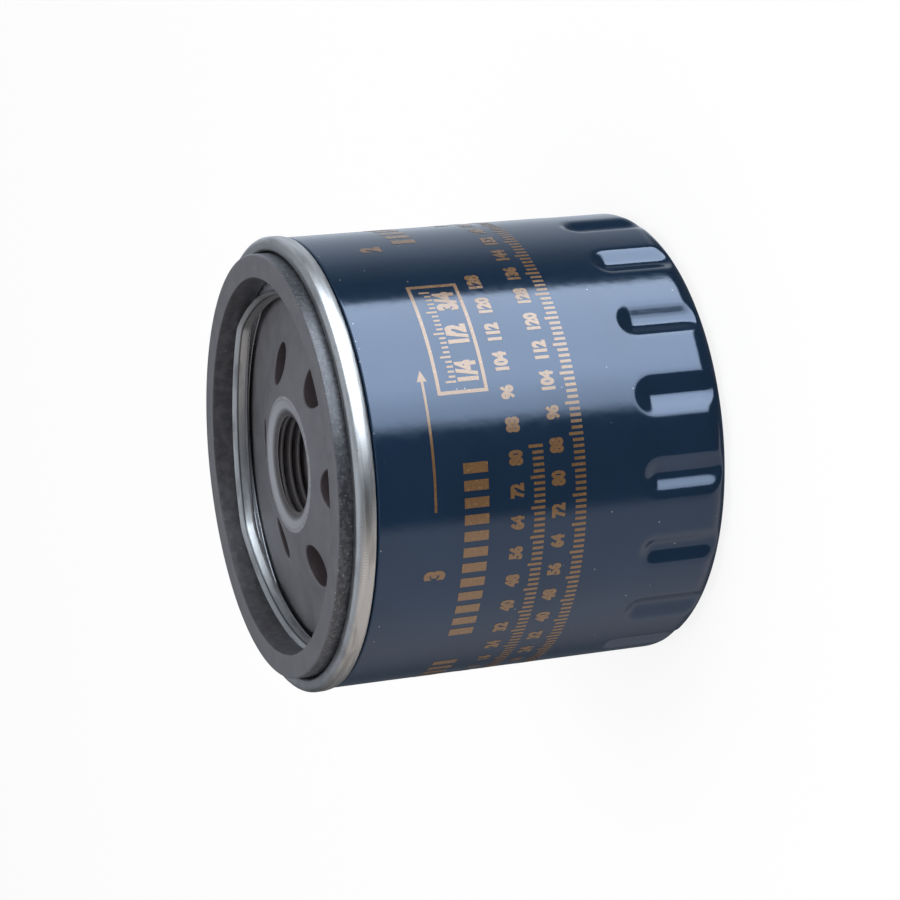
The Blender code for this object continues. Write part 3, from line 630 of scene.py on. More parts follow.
def flange_path():
    """The section from under the web round the rim, and back over the gutter beside the collar."""
    rim = PLATE_HIGH.x
    underside = PLATE_FLANGE - PLATE_THICKNESS
    channel_end = CHANNEL_INSIDE + CHANNEL_WIDTH
    gutter = PLATE_FLANGE - GUTTER_DEPTH
    return [
        (WEB_OUTSIDE, web_floor(WEB_OUTSIDE), 0),
        (CHANNEL_INSIDE, underside - CHANNEL_DEPTH, HUB_EDGE),
        (channel_end, underside - CHANNEL_DEPTH, HUB_EDGE),
        (channel_end + CHANNEL_FOOT, underside, HUB_EDGE),
        (rim, underside, HUB_EDGE),
        (rim, PLATE_FLANGE, HUB_EDGE),
        (GUTTER_OUTSIDE, PLATE_FLANGE, GUTTER_BEND),
        (GUTTER_OUTSIDE, gutter, GUTTER_BEND),
        (GUTTER_INSIDE, gutter, GUTTER_BEND),
        (GUTTER_INSIDE - GUTTER_RISE, gutter + GUTTER_RISE, GUTTER_BEND),
        (WEB_OUTSIDE, web_height(WEB_OUTSIDE), 0),
    ]


def make_plate(material):
    """The dished plate: bands of rings, six sectors with an inlet each, and the threaded hub."""
    columns = SECTOR_COLUMNS * INLET_COUNT
    first_angle = INLET_PHASE - pi / INLET_COUNT
    bm = bmesh.new()
    for path in (hub_path(), sleeve_path(), flange_path()):
        plate_rings(bm, rounded(path), columns, first_angle)
    for number in range(INLET_COUNT):
        web_sector(bm, INLET_PHASE + 2 * pi * number / INLET_COUNT)
    cut_thread(bm, columns, first_angle)
    bmesh.ops.remove_doubles(bm, verts=bm.verts, dist=WELD_DISTANCE)
    bmesh.ops.dissolve_degenerate(bm, edges=bm.edges, dist=WELD_DISTANCE)
    bmesh.ops.recalc_face_normals(bm, faces=bm.faces)
    plate = finish_piece("threaded_plate", bm, material, "housing")
    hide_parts("thread_plate")


# Springs


def coil_height(done, turns, wire, rise):
    """How far a spring's wire has risen after some turns: one closed turn, the open ones, and one closed."""
    closed = CLOSED_PITCH * wire
    active = turns - 2
    pitch = (rise - 2 * closed) / active
    open_turns = min(max(done - 1.0, 0.0), active)
    closed_turns = min(done, 1.0) + max(done - 1.0 - active, 0.0)
    return closed * closed_turns + pitch * open_turns


def make_spring(node, name, wire, turns, material, body):
    """A compression spring with closed and ground ends."""
    low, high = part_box(node)
    radius = high.y - wire / 2
    ground = wire * GROUND_SHARE
    bm = bmesh.new()
    rings = []
    for step in range(int(turns * SPRING_COLUMNS) + 1):
        angle = 2 * pi * step / SPRING_COLUMNS
        middle = low.z + wire / 2 + coil_height(step / SPRING_COLUMNS, turns, wire, high.z - low.z - wire)
        ring = []
        for side in range(WIRE_SIDES):
            spoke = 2 * pi * side / WIRE_SIDES
            reach = radius + wire / 2 * cos(spoke)
            level = min(max(middle + wire / 2 * sin(spoke), low.z + ground), high.z - ground)
            ring.append(bm.verts.new((reach * cos(angle), reach * sin(angle), level)))
        rings.append(ring)
    for first, second in zip(rings, rings[1:]):
        for side in range(WIRE_SIDES):
            after = (side + 1) % WIRE_SIDES
            bm.faces.new([first[side], first[after], second[after], second[side]])
    bm.faces.new(rings[0])
    bm.faces.new(rings[-1])
    bmesh.ops.recalc_face_normals(bm, faces=bm.faces)
    spring = finish_piece(name, bm, material, body)
    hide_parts(node)
    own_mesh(spring)


def make_springs():
    """The spring under the element, and the bypass valve's own."""
    wire = finish("oiled_wire", (0.32, 0.32, 0.34), 0.3, 1.0, mottle=0.1, size=1.5 * MM)
    make_spring("element_spring", "element_coil", 1.5 * MM, 3.5, wire, "housing")
    make_spring("bypass_spring", "bypass_coil", 0.8 * MM, 5, wire, "element")


# Printing: plain numerals, rules, bars, frames and arrows, wrapped round the can


def wrap(bm, angle, height):
    """Lays flat artwork on the can: x runs round the wall from the angle, y runs up from the height."""
    reach = [vert.co.x for vert in bm.verts]
    cuts = int((max(reach) - min(reach)) / PRINT_STEP)
    for number in range(1, cuts + 1):
        place = (min(reach) + number * PRINT_STEP, 0, 0)
        geom = bm.verts[:] + bm.edges[:] + bm.faces[:]
        bmesh.ops.bisect_plane(bm, geom=geom, plane_co=place, plane_no=(1, 0, 0), dist=PRINT_WELD)
    radius = CAN_RADIUS + PRINT_RISE
    for vert in bm.verts:
        turn = angle + vert.co.x / CAN_RADIUS
        vert.co = (radius * cos(turn), radius * sin(turn), height + vert.co.y)


def add_wrapped(target, bm, angle, height):
    """Wraps flat artwork and joins it to a print."""
    wrap(bm, angle, height)
    mesh = bpy.data.meshes.new("wrapped")
    bm.to_mesh(mesh)
    bm.free()
    target.from_mesh(mesh)
    bpy.data.meshes.remove(mesh)


def add_bar(target, x, y, width, height, angle, level):
    """An upright bar, whose lower left corner is at x, y in the artwork."""
    bm = bmesh.new()
    corners = [(x, y), (x + width, y), (x + width, y + height), (x, y + height)]
    bm.faces.new([bm.verts.new((*corner, 0)) for corner in corners])
    add_wrapped(target, bm, angle, level)


def add_numeral(target, text, height, angle, level, narrow=0.8, weight=0.07):
    """A plain numeral of the given height, centred on the angle, standing on the level."""
    curve = bpy.data.curves.new("numeral", "FONT")
    curve.body = text
    curve.offset = weight
    curve.resolution_u = 4
    holder = bpy.data.objects.new("numeral", curve)
    bpy.context.scene.collection.objects.link(holder)
    bpy.context.view_layer.update()
    evaluated = holder.evaluated_get(bpy.context.evaluated_depsgraph_get())
    bm = bmesh.new()
    bm.from_mesh(evaluated.to_mesh())
    evaluated.to_mesh_clear()
    bpy.data.objects.remove(holder)
    bpy.data.curves.remove(curve)
    xs = [vert.co.x for vert in bm.verts]
    ys = [vert.co.y for vert in bm.verts]
    scale = height / (max(ys) - min(ys))
    middle = (max(xs) + min(xs)) / 2
    for vert in bm.verts:
        vert.co = ((vert.co.x - middle) * scale * narrow, (vert.co.y - min(ys)) * scale, 0)
    add_wrapped(target, bm, angle, level)


def finish_print(name, target, material):
    """Links a finished print as a piece of the painted can."""
    finish_piece(name, target, material, "housing")


def print_frame(name, half_turn, material):
    """A frame round three fractions with a fine scale over them."""
    art = bmesh.new()
    start = FRAME_START + half_turn
    width = (FRAME_END + half_turn - start) * CAN_RADIUS
    height = FRAME_HIGH - FRAME_LOW
    upright = height - 2 * FRAME_LINE
    add_bar(art, 0, 0, width, FRAME_LINE, start, FRAME_LOW)
    add_bar(art, 0, height - FRAME_LINE, width, FRAME_LINE, start, FRAME_LOW)
    add_bar(art, 0, FRAME_LINE, FRAME_LINE, upright, start, FRAME_LOW)
    add_bar(art, width - FRAME_LINE, FRAME_LINE, FRAME_LINE, upright, start, FRAME_LOW)
    for text, place in FRACTION_ANGLES.items():
        add_numeral(art, text, LARGE_NUMERAL, start + radians(place), FRACTION_LEVEL, FRACTION_NARROWING)
    for tick in range(FRAME_TICK_COUNT):
        tall = FRAME_TICK_HEIGHTS[0 if tick % TALL_TICK_EVERY == 0 else 1]
        place = FRAME_TICK_START + tick * FRAME_TICK_PITCH
        add_bar(art, place, FRAME_TICK_RISE, FRAME_TICK_WIDTH, tall, start, FRAME_LOW)
    finish_print(name, art, material)


def print_arrow(name, half_turn, material):
    """A plain arrow round the can."""
    arrow = bmesh.new()
    tail = ARROW_TAIL + half_turn
    length = (ARROW_TIP + half_turn - tail) * CAN_RADIUS
    neck = length - ARROW_HEAD
    add_bar(arrow, 0, -ARROW_LINE / 2, neck, ARROW_LINE, tail, ARROW_LEVEL)
    head = bmesh.new()
    corners = [(neck, -ARROW_HALF_WIDTH), (length, 0), (neck, ARROW_HALF_WIDTH)]
    head.faces.new([head.verts.new((*corner, 0)) for corner in corners])
    add_wrapped(arrow, head, tail, ARROW_LEVEL)
    finish_print(name, arrow, material)


def print_strip(name, start, material):
    """A strip of broad upright bars."""
    bars = bmesh.new()
    for bar in range(STRIP_BARS):
        add_bar(bars, STRIP_PITCH * bar, 0, STRIP_BAR_WIDTH, STRIP_BAR_HEIGHT, start, STRIP_LEVEL)
    finish_print(name, bars, material)


def print_degrees(name, count, start, half_turn, level, material):
    """A row of plain numbers that count degrees round the can."""
    row = bmesh.new()
    for step in range(count):
        angle = radians(start + DEGREE_STEP * step) + half_turn
        add_numeral(row, str(step * DEGREE_STEP), SMALL_NUMERAL, angle, level)
    finish_print(name, row, material)


def print_rule(name, places, level, material):
    """A scale of upright ticks, some of them taller, at places given as (distance, angle)."""
    rule = bmesh.new()
    for tick, (distance, angle) in enumerate(places):
        tall = TICK_HEIGHTS[0 if tick % TALL_TICK_EVERY == 0 else 1]
        add_bar(rule, distance, 0, TICK_WIDTH, tall, angle, level)
    finish_print(name, rule, material)


def make_prints(material):
    """Plain numbers, frames, arrows, bars and scales in place of the maker's printing."""
    positions = bmesh.new()
    for text, angle in POSITION_ANGLES.items():
        add_numeral(positions, text, LARGE_NUMERAL, radians(angle), POSITION_LEVEL)
    finish_print("position_numbers", positions, material)
    for number in (1, 2):
        half_turn = pi * (number - 1)
        print_frame(f"turn_frame_{number}", half_turn, material)
        print_arrow(f"turn_arrow_{number}", half_turn, material)
        for place, start in enumerate(STRIP_STARTS):
            print_strip(f"bar_strip_{number + 2 * place}", start + half_turn, material)
        row = (DEGREE_ROW_COUNT, DEGREE_ROW_START, half_turn, DEGREE_ROW_LEVEL)
        print_degrees(f"degree_row_{number}", *row, material)
        start = SHORT_RULE_START + half_turn
        places = [(tick * SHORT_RULE_PITCH, start) for tick in range(SHORT_RULE_TICKS)]
        print_rule(f"short_rule_{number}", places, SHORT_RULE_LEVEL, material)
    print_degrees("degree_ring", DEGREE_RING_COUNT, DEGREE_RING_START, 0, DEGREE_RING_LEVEL, material)
    places = [(0, radians(LONG_RULE_STEP * tick)) for tick in range(LONG_RULE_TICKS)]
    print_rule("long_rule", places, LONG_RULE_LEVEL, material)


# Finishes


def new_material(name):
    """A material, its node tree and its shader."""
    made = bpy.data.materials.new(name)
    made.use_nodes = True
    return made, made.node_tree, made.node_tree.nodes["Principled BSDF"]


def add_node(tree, kind, **settings):
    """A new node with its own settings."""
    node = tree.nodes.new(kind)
    for name, value in settings.items():
        setattr(node, name, value)
    return node


def calc(tree, operation, first, second=None, third=None):
    """A Math node on numbers or sockets."""
    node = add_node(tree, "ShaderNodeMath", operation=operation)
    for socket, value in zip(node.inputs, (first, second, third)):
        if isinstance(value, bpy.types.NodeSocket):
            tree.links.new(value, socket)
        elif value is not None:
            socket.default_value = value
    return node.outputs[0]


def remap(tree, value, low, high, to_low=0.0, to_high=1.0, kind="LINEAR"):
    """Carries a value from one range to another and stops at its ends."""
    node = add_node(tree, "ShaderNodeMapRange", interpolation_type=kind)
    tree.links.new(value, node.inputs["Value"])
    for name, number in (("From Min", low), ("From Max", high), ("To Min", to_low), ("To Max", to_high)):
        node.inputs[name].default_value = number
    return node.outputs["Result"]


def fade(tree, value, start, end):
    """Rises smoothly from 0 at the start to 1 at the end, whichever of the two is larger."""
    return remap(tree, value, start, end, kind="SMOOTHSTEP")


def between(tree, value, rise, fall):
    """1 between two edges and 0 outside them; each edge is a pair of values that the fade runs between."""
    return calc(tree, "MULTIPLY", fade(tree, value, *rise), fade(tree, value, *fall))


def axes(tree, kind="Object"):
    """The x, y and z coordinates of a point."""
    split = add_node(tree, "ShaderNodeSeparateXYZ")
    tree.links.new(add_node(tree, "ShaderNodeTexCoord").outputs[kind], split.inputs[0])
    return split.outputs


def distance_from_axis(tree, x, y):
    """The radius at which a point lies."""
    return calc(tree, "SQRT", calc(tree, "MULTIPLY_ADD", x, x, calc(tree, "MULTIPLY", y, y)))


def noise(tree, size, detail=3.0, vector=None, sweep=None):
    """Noise whose features have a size in metres."""
    node = add_node(tree, "ShaderNodeTexNoise", noise_dimensions="4D" if sweep else "3D")
    node.inputs["Scale"].default_value = 1 / size
    node.inputs["Detail"].default_value = detail
    if vector is None:
        vector = add_node(tree, "ShaderNodeTexCoord").outputs["Object"]
    tree.links.new(vector, node.inputs["Vector"])
    if sweep:
        tree.links.new(sweep, node.inputs["W"])
    return node.outputs["Fac"]


def spots(tree, size, share, reach=0.16):
    """Small scattered spots in a share of the cells, from 0 between them to 1 on them."""
    node = add_node(tree, "ShaderNodeTexVoronoi")
    node.inputs["Scale"].default_value = 1 / size
    tree.links.new(add_node(tree, "ShaderNodeTexCoord").outputs["Object"], node.inputs["Vector"])
    spot = remap(tree, node.outputs["Distance"], reach / 2, reach, 1.0, 0.0)
    parts = add_node(tree, "ShaderNodeSeparateColor")
    tree.links.new(node.outputs["Color"], parts.inputs[0])
    chosen = calc(tree, "LESS_THAN", parts.outputs[0], share)
    return calc(tree, "MULTIPLY", spot, chosen)


def tint(tree, factor, low, high):
    """A colour between two others."""
    node = add_node(tree, "ShaderNodeMix", data_type="RGBA")
    for name, colour in (("A", low), ("B", high)):
        socket = [s for s in node.inputs if s.name == name and s.type == "RGBA"][0]
        if isinstance(colour, bpy.types.NodeSocket):
            tree.links.new(colour, socket)
        else:
            socket.default_value = (*colour, 1.0)
    tree.links.new(factor, node.inputs["Factor"])
    return [s for s in node.outputs if s.type == "RGBA"][0]


def layer(tree, under, colour, *masks):
    """A colour over another, where all the masks allow it."""
    mask = masks[0]
    for other in masks[1:]:
        mask = calc(tree, "MULTIPLY", mask, other)
    return tint(tree, mask, under, colour)


def shade(colour, share):
    """A colour made darker or lighter."""
    return tuple(channel * share for channel in colour)


def bump(tree, shader, height, depth):
    """Raises the surface by a pattern, up to a depth in metres."""
    node = add_node(tree, "ShaderNodeBump")
    node.inputs["Distance"].default_value = depth
    tree.links.new(height, node.inputs["Height"])
    tree.links.new(node.outputs["Normal"], shader.inputs["Normal"])


def around_axis(tree, length):
    """Coordinates that stretch a texture round the axis, as drawing and rolling do: a vector and a sweep."""
    x, y, z = axes(tree)
    radius = distance_from_axis(tree, x, y)
    join = add_node(tree, "ShaderNodeCombineXYZ")
    for socket, value in zip(join.inputs, (x, y)):
        unit = calc(tree, "DIVIDE", value, radius)
        tree.links.new(calc(tree, "MULTIPLY", unit, length), socket)
    tree.links.new(z, join.inputs[2])
    sweep = calc(tree, "DIVIDE", radius, STREAK_SIZE)
    return join.outputs[0], sweep


def finish(name, colour, roughness, metallic=0.0, mottle=0.2, size=3 * MM, grain=0.006 * MM):
    """A plain finish: cloudy colour, uneven gloss and a fine grain."""
    made, tree, shader = new_material(name)
    cloud = remap(tree, noise(tree, size), 0.3, 0.7)
    fine = noise(tree, size / 12, 2.0)
    colours = tint(tree, cloud, shade(colour, 1 - mottle), shade(colour, 1 + mottle))
    tree.links.new(colours, shader.inputs["Base Color"])
    gloss = remap(tree, cloud, 0.0, 1.0, roughness * 0.85, roughness * 1.15)
    tree.links.new(gloss, shader.inputs["Roughness"])
    shader.inputs["Metallic"].default_value = metallic
    bump(tree, shader, fine, grain)
    return made


def make_paint():
    """Navy lacquer over tin plate: a trace of metal under the gloss, orange peel, and dust near the seam."""
    made, tree, shader = new_material("navy_lacquer")
    cloud = remap(tree, noise(tree, 14 * MM), 0.35, 0.65)
    colours = tint(tree, cloud, shade(NAVY, 0.93), shade(NAVY, 1.07))
    height = axes(tree)[2]
    near_seam = remap(tree, height, SEAM_BOTTOM - 2.5 * MM, SEAM_BOTTOM - 0.4 * MM, 0.05, 0.8)
    dusty = layer(tree, colours, PAINT_DUST, spots(tree, 1.3 * MM, near_seam, reach=0.11), 0.7)
    tree.links.new(dusty, shader.inputs["Base Color"])
    shader.inputs["Metallic"].default_value = 0.2
    gloss = remap(tree, noise(tree, 1.2 * MM), 0.3, 0.7, 0.09, 0.15)
    tree.links.new(gloss, shader.inputs["Roughness"])
    bump(tree, shader, noise(tree, 1.6 * MM), 0.011 * MM)
    return made


def make_tin():
    """Bare tin plate: streaks round the axis, dull patches, dark specks, painted shade in the collar's crease
    and a painted highlight along its foot.
    """
    made, tree, shader = new_material("drawn_tin_plate")
    vector, sweep = around_axis(tree, 1.2 * MM)
    streaks = remap(tree, noise(tree, STREAK_SIZE, 4.0, vector, sweep), 0.36, 0.64)
    dull = remap(tree, noise(tree, 1.1 * MM, 3.0, around_axis(tree, 5 * MM)[0]), 0.48, 0.7)
    colours = layer(tree, tint(tree, streaks, *TIN), DULL_TIN, dull, 0.7)
    x, y, z = axes(tree)
    collar = fade(tree, distance_from_axis(tree, x, y), GASKET_OUTSIDE - 2 * MM, GASKET_OUTSIDE - 3 * MM)
    # Painted shade: the collar's crease is darkened in the colour.
    crease = COLLAR_LIP - COLLAR_BAND
    in_crease = between(tree, z, (crease - 0.22 * MM, crease), (crease + 0.3 * MM, crease + 0.05 * MM))
    colours = layer(tree, colours, CREASE_SHADE, collar, in_crease)
    # Painted highlight: a thin bright line along the collar's foot, in place of a reflection.
    foot = (GROOVE_FLOOR - 0.3 * MM, GROOVE_FLOOR - 0.1 * MM)
    at_foot = between(tree, z, foot, (GROOVE_FLOOR + 0.2 * MM, GROOVE_FLOOR))
    colours = layer(tree, colours, FOOT_HIGHLIGHT, collar, at_foot)
    colours = layer(tree, colours, SPECK, spots(tree, 1.1 * MM, 0.12), 0.6)
    tree.links.new(colours, shader.inputs["Base Color"])
    shader.inputs["Metallic"].default_value = 1.0
    tree.links.new(remap(tree, streaks, 0.0, 1.0, 0.30, 0.42), shader.inputs["Roughness"])
    bump(tree, shader, streaks, 0.002 * MM)
    return made


def make_ink():
    """Bronze screen ink, worn thin in places."""
    made, tree, shader = new_material("bronze_ink")
    cloud = remap(tree, noise(tree, 0.5 * MM), 0.3, 0.7)
    tree.links.new(tint(tree, cloud, *BRONZE), shader.inputs["Base Color"])
    shader.inputs["Metallic"].default_value = 0.12
    shader.inputs["Specular IOR Level"].default_value = 0.95
    tree.links.new(remap(tree, cloud, 0.0, 1.0, 0.2, 0.28), shader.inputs["Roughness"])
    bump(tree, shader, noise(tree, 1.6 * MM, 1.5), 0.013 * MM)
    return made


def make_rubber():
    """Moulded nitrile: a grey face and walls painted darker as painted shade, smudged inside, scuffed and
    dusty outside.
    """
    made, tree, shader = new_material("dusty_nitrile")
    x, y, z = axes(tree)
    radius = distance_from_axis(tree, x, y)
    cloud = remap(tree, noise(tree, 2.5 * MM), 0.3, 0.7)
    outer = fade(tree, radius, GASKET_OUTSIDE - 0.2 * MM, GASKET_OUTSIDE)
    inner = fade(tree, radius, GASKET_INSIDE + 0.1 * MM, GASKET_INSIDE)
    below = fade(tree, z, GASKET_HIGH.z - 0.1 * MM, GASKET_HIGH.z - 0.4 * MM)
    # Painted shade: the walls below the face take a darker colour than the face.
    wall = tint(tree, cloud, *SHADED_RUBBER_WALL)
    colours = layer(tree, tint(tree, cloud, *RUBBER_FACE), wall, calc(tree, "MAXIMUM", outer, inner), below)
    smudge = remap(tree, noise(tree, 1.4 * MM), 0.35, 0.6, 0.85, 0.35)
    colours = layer(tree, colours, RUBBER_SMUDGE, inner, smudge)
    scuffed = remap(tree, noise(tree, 0.7 * MM, 4.0), 0.44, 0.6, 0.0, 0.65)
    colours = layer(tree, colours, RUBBER_SCUFF, outer, scuffed)
    share = remap(tree, outer, 0.0, 1.0, 0.04, 0.6)
    colours = layer(tree, colours, RUBBER_DUST, spots(tree, 0.6 * MM, share, reach=0.2), 0.6)
    tree.links.new(colours, shader.inputs["Base Color"])
    tree.links.new(remap(tree, cloud, 0.0, 1.0, 0.32, 0.42), shader.inputs["Roughness"])
    bump(tree, shader, noise(tree, 0.25 * MM, 2.0), 0.010 * MM)
    return made


def dress_hub(tree, radius, colours):
    """The hub's funnel, painted lighter as painted light, its worn edge, and its darker bore with tool marks
    and crests painted lighter as a painted highlight.
    """
    edge = THREAD_MINOR + THREAD_CHAMFER
    # Painted light: the funnel is lighter, standing in for the light its slope catches.
    funnel = between(tree, radius, (edge, edge + 0.6 * MM), (HUB_RADIUS, HUB_RADIUS - 0.5 * MM))
    colours = layer(tree, colours, FUNNEL_PAINTED_LIGHT, funnel)
    outside = (HUB_RADIUS + 0.5 * MM, HUB_RADIUS + 0.15 * MM)
    at_edge = between(tree, radius, (HUB_RADIUS - 0.3 * MM, HUB_RADIUS), outside)
    worn = remap(tree, noise(tree, 0.6 * MM), 0.3, 0.6, 0.3, 0.9)
    colours = layer(tree, colours, WORN_EDGE, at_edge, worn)
    # The bore takes a darker, browner colour than the plate.
    bore = fade(tree, radius, edge, edge - 0.3 * MM)
    colours = layer(tree, colours, DARK_BORE, bore)
    vector, sweep = around_axis(tree, 2 * MM)
    marks = fade(tree, noise(tree, 0.45 * MM, 2.0, vector, sweep), 0.5, 0.64)
    colours = layer(tree, colours, TOOL_MARK, bore, marks, 0.5)
    # Painted highlight: the thread's crests are lighter than its roots.
    crest = fade(tree, radius, THREAD_MINOR + 0.12 * MM, THREAD_MINOR + 0.02 * MM)
    return layer(tree, colours, CREST_HIGHLIGHT, crest, 0.6)


def make_phosphate():
    """Phosphated plate: mottled grey, painted shade in the gutter beside a rubbed wall, painted light on the
    hub's funnel, and dark inlet walls.
    """
    made, tree, shader = new_material("phosphated_plate")
    x, y = axes(tree)[:2]
    radius = distance_from_axis(tree, x, y)
    cloud = remap(tree, noise(tree, 3.5 * MM, 5.0), 0.3, 0.7)
    grit = remap(tree, noise(tree, 0.3 * MM), 0.35, 0.65)
    colours = layer(tree, tint(tree, cloud, *PHOSPHATE), PHOSPHATE_GRIT, grit, 0.35)
    # Painted shade: the gutter beside the collar is darkened.
    gutter = ((GUTTER_INSIDE - MM, GUTTER_INSIDE), (GUTTER_OUTSIDE, GUTTER_OUTSIDE - 0.2 * MM))
    colours = layer(tree, colours, GUTTER_SHADE, between(tree, radius, *gutter), 0.62)
    rubbed = fade(tree, radius, GUTTER_OUTSIDE - GUTTER_BEND, GUTTER_OUTSIDE - GUTTER_BEND / 2)
    colours = layer(tree, colours, RUBBED_STEEL, rubbed)
    colours = dress_hub(tree, radius, colours)
    normal = add_node(tree, "ShaderNodeSeparateXYZ")
    tree.links.new(add_node(tree, "ShaderNodeTexCoord").outputs["Normal"], normal.inputs[0])
    upright = fade(tree, calc(tree, "ABSOLUTE", normal.outputs[2]), 0.8, 0.4)
    web = ((HUB_RADIUS + 2 * MM, HUB_RADIUS + 2.5 * MM), (CHANNEL_INSIDE, CHANNEL_INSIDE - MM))
    colours = layer(tree, colours, INLET_WALL, upright, between(tree, radius, *web))
    tree.links.new(colours, shader.inputs["Base Color"])
    tree.links.new(remap(tree, rubbed, 0.0, 1.0, 0.35, 1.0), shader.inputs["Metallic"])
    gloss = remap(tree, cloud, 0.0, 1.0, 0.36, 0.5)
    tree.links.new(calc(tree, "MULTIPLY_ADD", rubbed, -0.14, gloss), shader.inputs["Roughness"])
    bump(tree, shader, calc(tree, "MULTIPLY", grit, calc(tree, "SUBTRACT", 1.0, rubbed)), 0.012 * MM)
    return made


def dress(material, *nodes):
    """Gives CAD nodes that show as they are a finish."""
    for node in nodes:
        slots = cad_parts[node].data.materials
        slots.clear()
        slots.append(material)


def dress_inner_pieces():
    """Finishes for the CAD nodes that stay, all of them inside the can."""
    dress(finish("seam_sealant", (0.17, 0.155, 0.13), 0.5), "seam_compound")
    dress(finish("nitrile", (0.05, 0.045, 0.042), 0.6), "anti_drain_valve", "bypass_seal")
    zinc = finish("zinc_plate", (0.55, 0.56, 0.58), 0.36, 1.0)
    dress(zinc, "top_end_cap", "bottom_end_cap", "bypass_seat", "bypass_cage", "bypass_poppet")
    dress(finish("bare_steel", (0.40, 0.40, 0.41), 0.42, 1.0, size=1.5 * MM), "centre_tube", "media_clip")
    dress(finish("plastisol", (0.20, 0.055, 0.035), 0.45), "top_adhesive", "bottom_adhesive")
    paper = finish("filter_paper", (0.62, 0.47, 0.25), 0.9, mottle=0.12, size=2 * MM, grain=0.04 * MM)
    dress(paper, "pleated_media")


# Studio


def gloss_lights(tree):
    """What gloss shows, by direction: the strength and the colour of a room, a softbox and a table."""
    x, y, z = axes(tree, "Generated")
    azimuth = calc(tree, "DEGREES", calc(tree, "ARCTAN2", x, calc(tree, "MULTIPLY", y, -1.0)))
    window = between(tree, z, *WINDOW_HEIGHT)
    front = calc(tree, "MULTIPLY", between(tree, azimuth, *SOFTBOX_EDGES), FRONT_SHARE)
    bright_side = calc(tree, "MULTIPLY", between(tree, azimuth, *BRIGHT_SIDE_EDGES), 1 - FRONT_SHARE)
    softbox = calc(tree, "MULTIPLY", calc(tree, "ADD", front, bright_side), window)
    back_wall = calc(tree, "MULTIPLY", between(tree, azimuth, *BACK_WALL_EDGES), window)
    ceiling = remap(tree, z, *CEILING_HEIGHT, *CEILING_LIGHT)
    room = calc(tree, "MULTIPLY_ADD", back_wall, BACK_WALL_LIGHT, ceiling)
    table = calc(tree, "MULTIPLY", between(tree, azimuth, *TABLE_EDGES), fade(tree, z, *TABLE_HEIGHT))
    softbox = calc(tree, "MULTIPLY", softbox, SOFTBOX_LIGHT)
    table = calc(tree, "MULTIPLY", table, TABLE_LIGHT)
    return [(room, ROOM_COLOUR), (softbox, SOFTBOX_COLOUR), (table, TABLE_COLOUR)]


def make_world():
    """White behind the object and an even grey that lights it; gloss shows a dark studio with its lights."""
    world = bpy.data.worlds.new("studio")
    bpy.context.scene.world = world
    world.use_nodes = True
    world.cycles.sampling_method = "NONE"
    tree = world.node_tree
    path = add_node(tree, "ShaderNodeLightPath").outputs
    seen_in_gloss = path["Is Glossy Ray"]
    seen_straight = calc(tree, "MAXIMUM", path["Is Camera Ray"], path["Is Transmission Ray"])
    even = calc(tree, "MULTIPLY_ADD", seen_in_gloss, -WORLD_LIGHT, WORLD_LIGHT)
    backdrop = tree.nodes["Background"]
    backdrop.inputs["Color"].default_value = (1.0, 1.0, 1.0, 1.0)
    tree.links.new(calc(tree, "MAXIMUM", even, seen_straight), backdrop.inputs["Strength"])
    total = backdrop.outputs[0]
    for light, colour in gloss_lights(tree):
        glow = add_node(tree, "ShaderNodeBackground")
        glow.inputs["Color"].default_value = (*colour, 1.0)
        tree.links.new(calc(tree, "MULTIPLY", light, seen_in_gloss), glow.inputs["Strength"])
        both = add_node(tree, "ShaderNodeAddShader")
        tree.links.new(total, both.inputs[0])
        tree.links.new(glow.outputs[0], both.inputs[1])
        total = both.outputs[0]
    tree.links.new(total, tree.nodes["World Output"].inputs["Surface"])


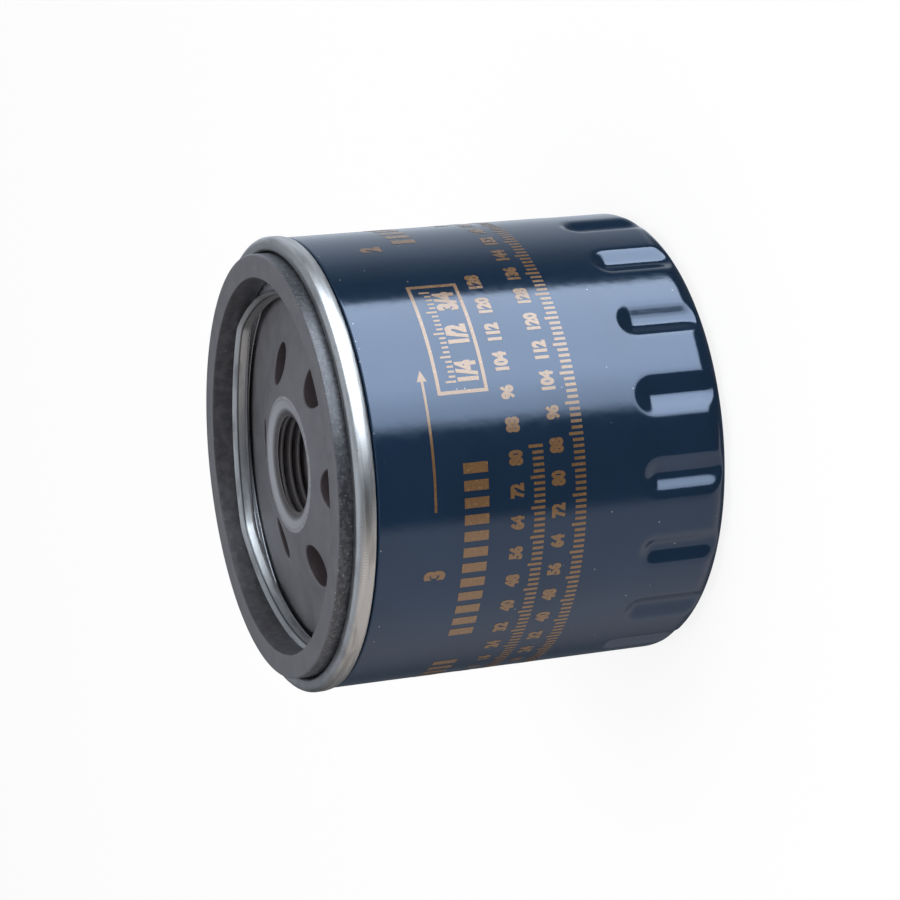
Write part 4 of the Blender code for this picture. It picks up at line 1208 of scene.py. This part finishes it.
def make_floor():
    """A pale floor that the camera sees as white, with the object's shadow on it."""
    bm = bmesh.new()
    bmesh.ops.create_circle(bm, cap_ends=True, segments=96, radius=FLOOR_RADIUS)
    mesh = bpy.data.meshes.new("floor")
    bm.to_mesh(mesh)
    bm.free()
    floor = bpy.data.objects.new("floor", mesh)
    bpy.context.scene.collection.objects.link(floor)
    floor.location.z = CAD_BOX[0][2] - FLOOR_DROP
    floor.visible_glossy = False
    made, tree, shader = new_material("pale_floor")
    shader.inputs["Base Color"].default_value = (FLOOR_GREY, FLOOR_GREY, FLOOR_GREY, 1.0)
    shader.inputs["Roughness"].default_value = 1.0
    glow = add_node(tree, "ShaderNodeEmission")
    glow.inputs["Strength"].default_value = FLOOR_GLOW
    mix = add_node(tree, "ShaderNodeMixShader")
    path = add_node(tree, "ShaderNodeLightPath")
    tree.links.new(calc(tree, "MULTIPLY", path.outputs["Is Camera Ray"], FLOOR_GLOW_SHARE), mix.inputs[0])
    tree.links.new(shader.outputs[0], mix.inputs[1])
    tree.links.new(glow.outputs[0], mix.inputs[2])
    tree.links.new(mix.outputs[0], tree.nodes["Material Output"].inputs["Surface"])
    mesh.materials.append(made)


def make_lamp():
    """A large soft lamp above the gasket's side, which gloss doesn't show."""
    light = bpy.data.lights.new("overhead_softbox", "AREA")
    light.shape = "DISK"
    light.size = LAMP_SIZE
    light.energy = LAMP_POWER
    lamp = bpy.data.objects.new("overhead_softbox", light)
    bpy.context.scene.collection.objects.link(lamp)
    place = Vector(LAMP_PLACE)
    middle = (Vector(CAD_BOX[0]) + Vector(CAD_BOX[1])) / 2
    lamp.location = place
    lamp.rotation_euler = (middle - place).to_track_quat("-Z", "Y").to_euler()
    lamp.visible_glossy = False


def make_camera():
    """The camera where the photograph's stood, turned on its side as the object lies there."""
    camera = bpy.data.objects.new("camera", bpy.data.cameras.new("camera"))
    bpy.context.scene.collection.objects.link(camera)
    camera.data.lens = CAMERA_LENS
    camera.data.sensor_width = CAMERA_SENSOR
    camera.data.clip_start = CAMERA_NEAR
    height = CAMERA_PIVOT_HEIGHT + CAMERA_DISTANCE * sin(CAMERA_TILT)
    place = Vector((0, -CAMERA_DISTANCE * cos(CAMERA_TILT), height))
    aim = (Vector(CAMERA_TARGET) - place).to_track_quat("-Z", "Y")
    camera.location = place
    camera.rotation_mode = "QUATERNION"
    camera.rotation_quaternion = aim @ Quaternion((0, 0, 1), CAMERA_ROLL)
    bpy.context.scene.camera = camera


def main():
    """Makes the pieces, the finishes and the studio."""
    make_can(make_paint())
    make_lid(make_tin())
    make_gasket(make_rubber())
    make_plate(make_phosphate())
    make_springs()
    make_prints(make_ink())
    dress_inner_pieces()
    make_world()
    make_floor()
    make_lamp()
    make_camera()
    bpy.context.scene.view_settings.view_transform = "Standard"


main()
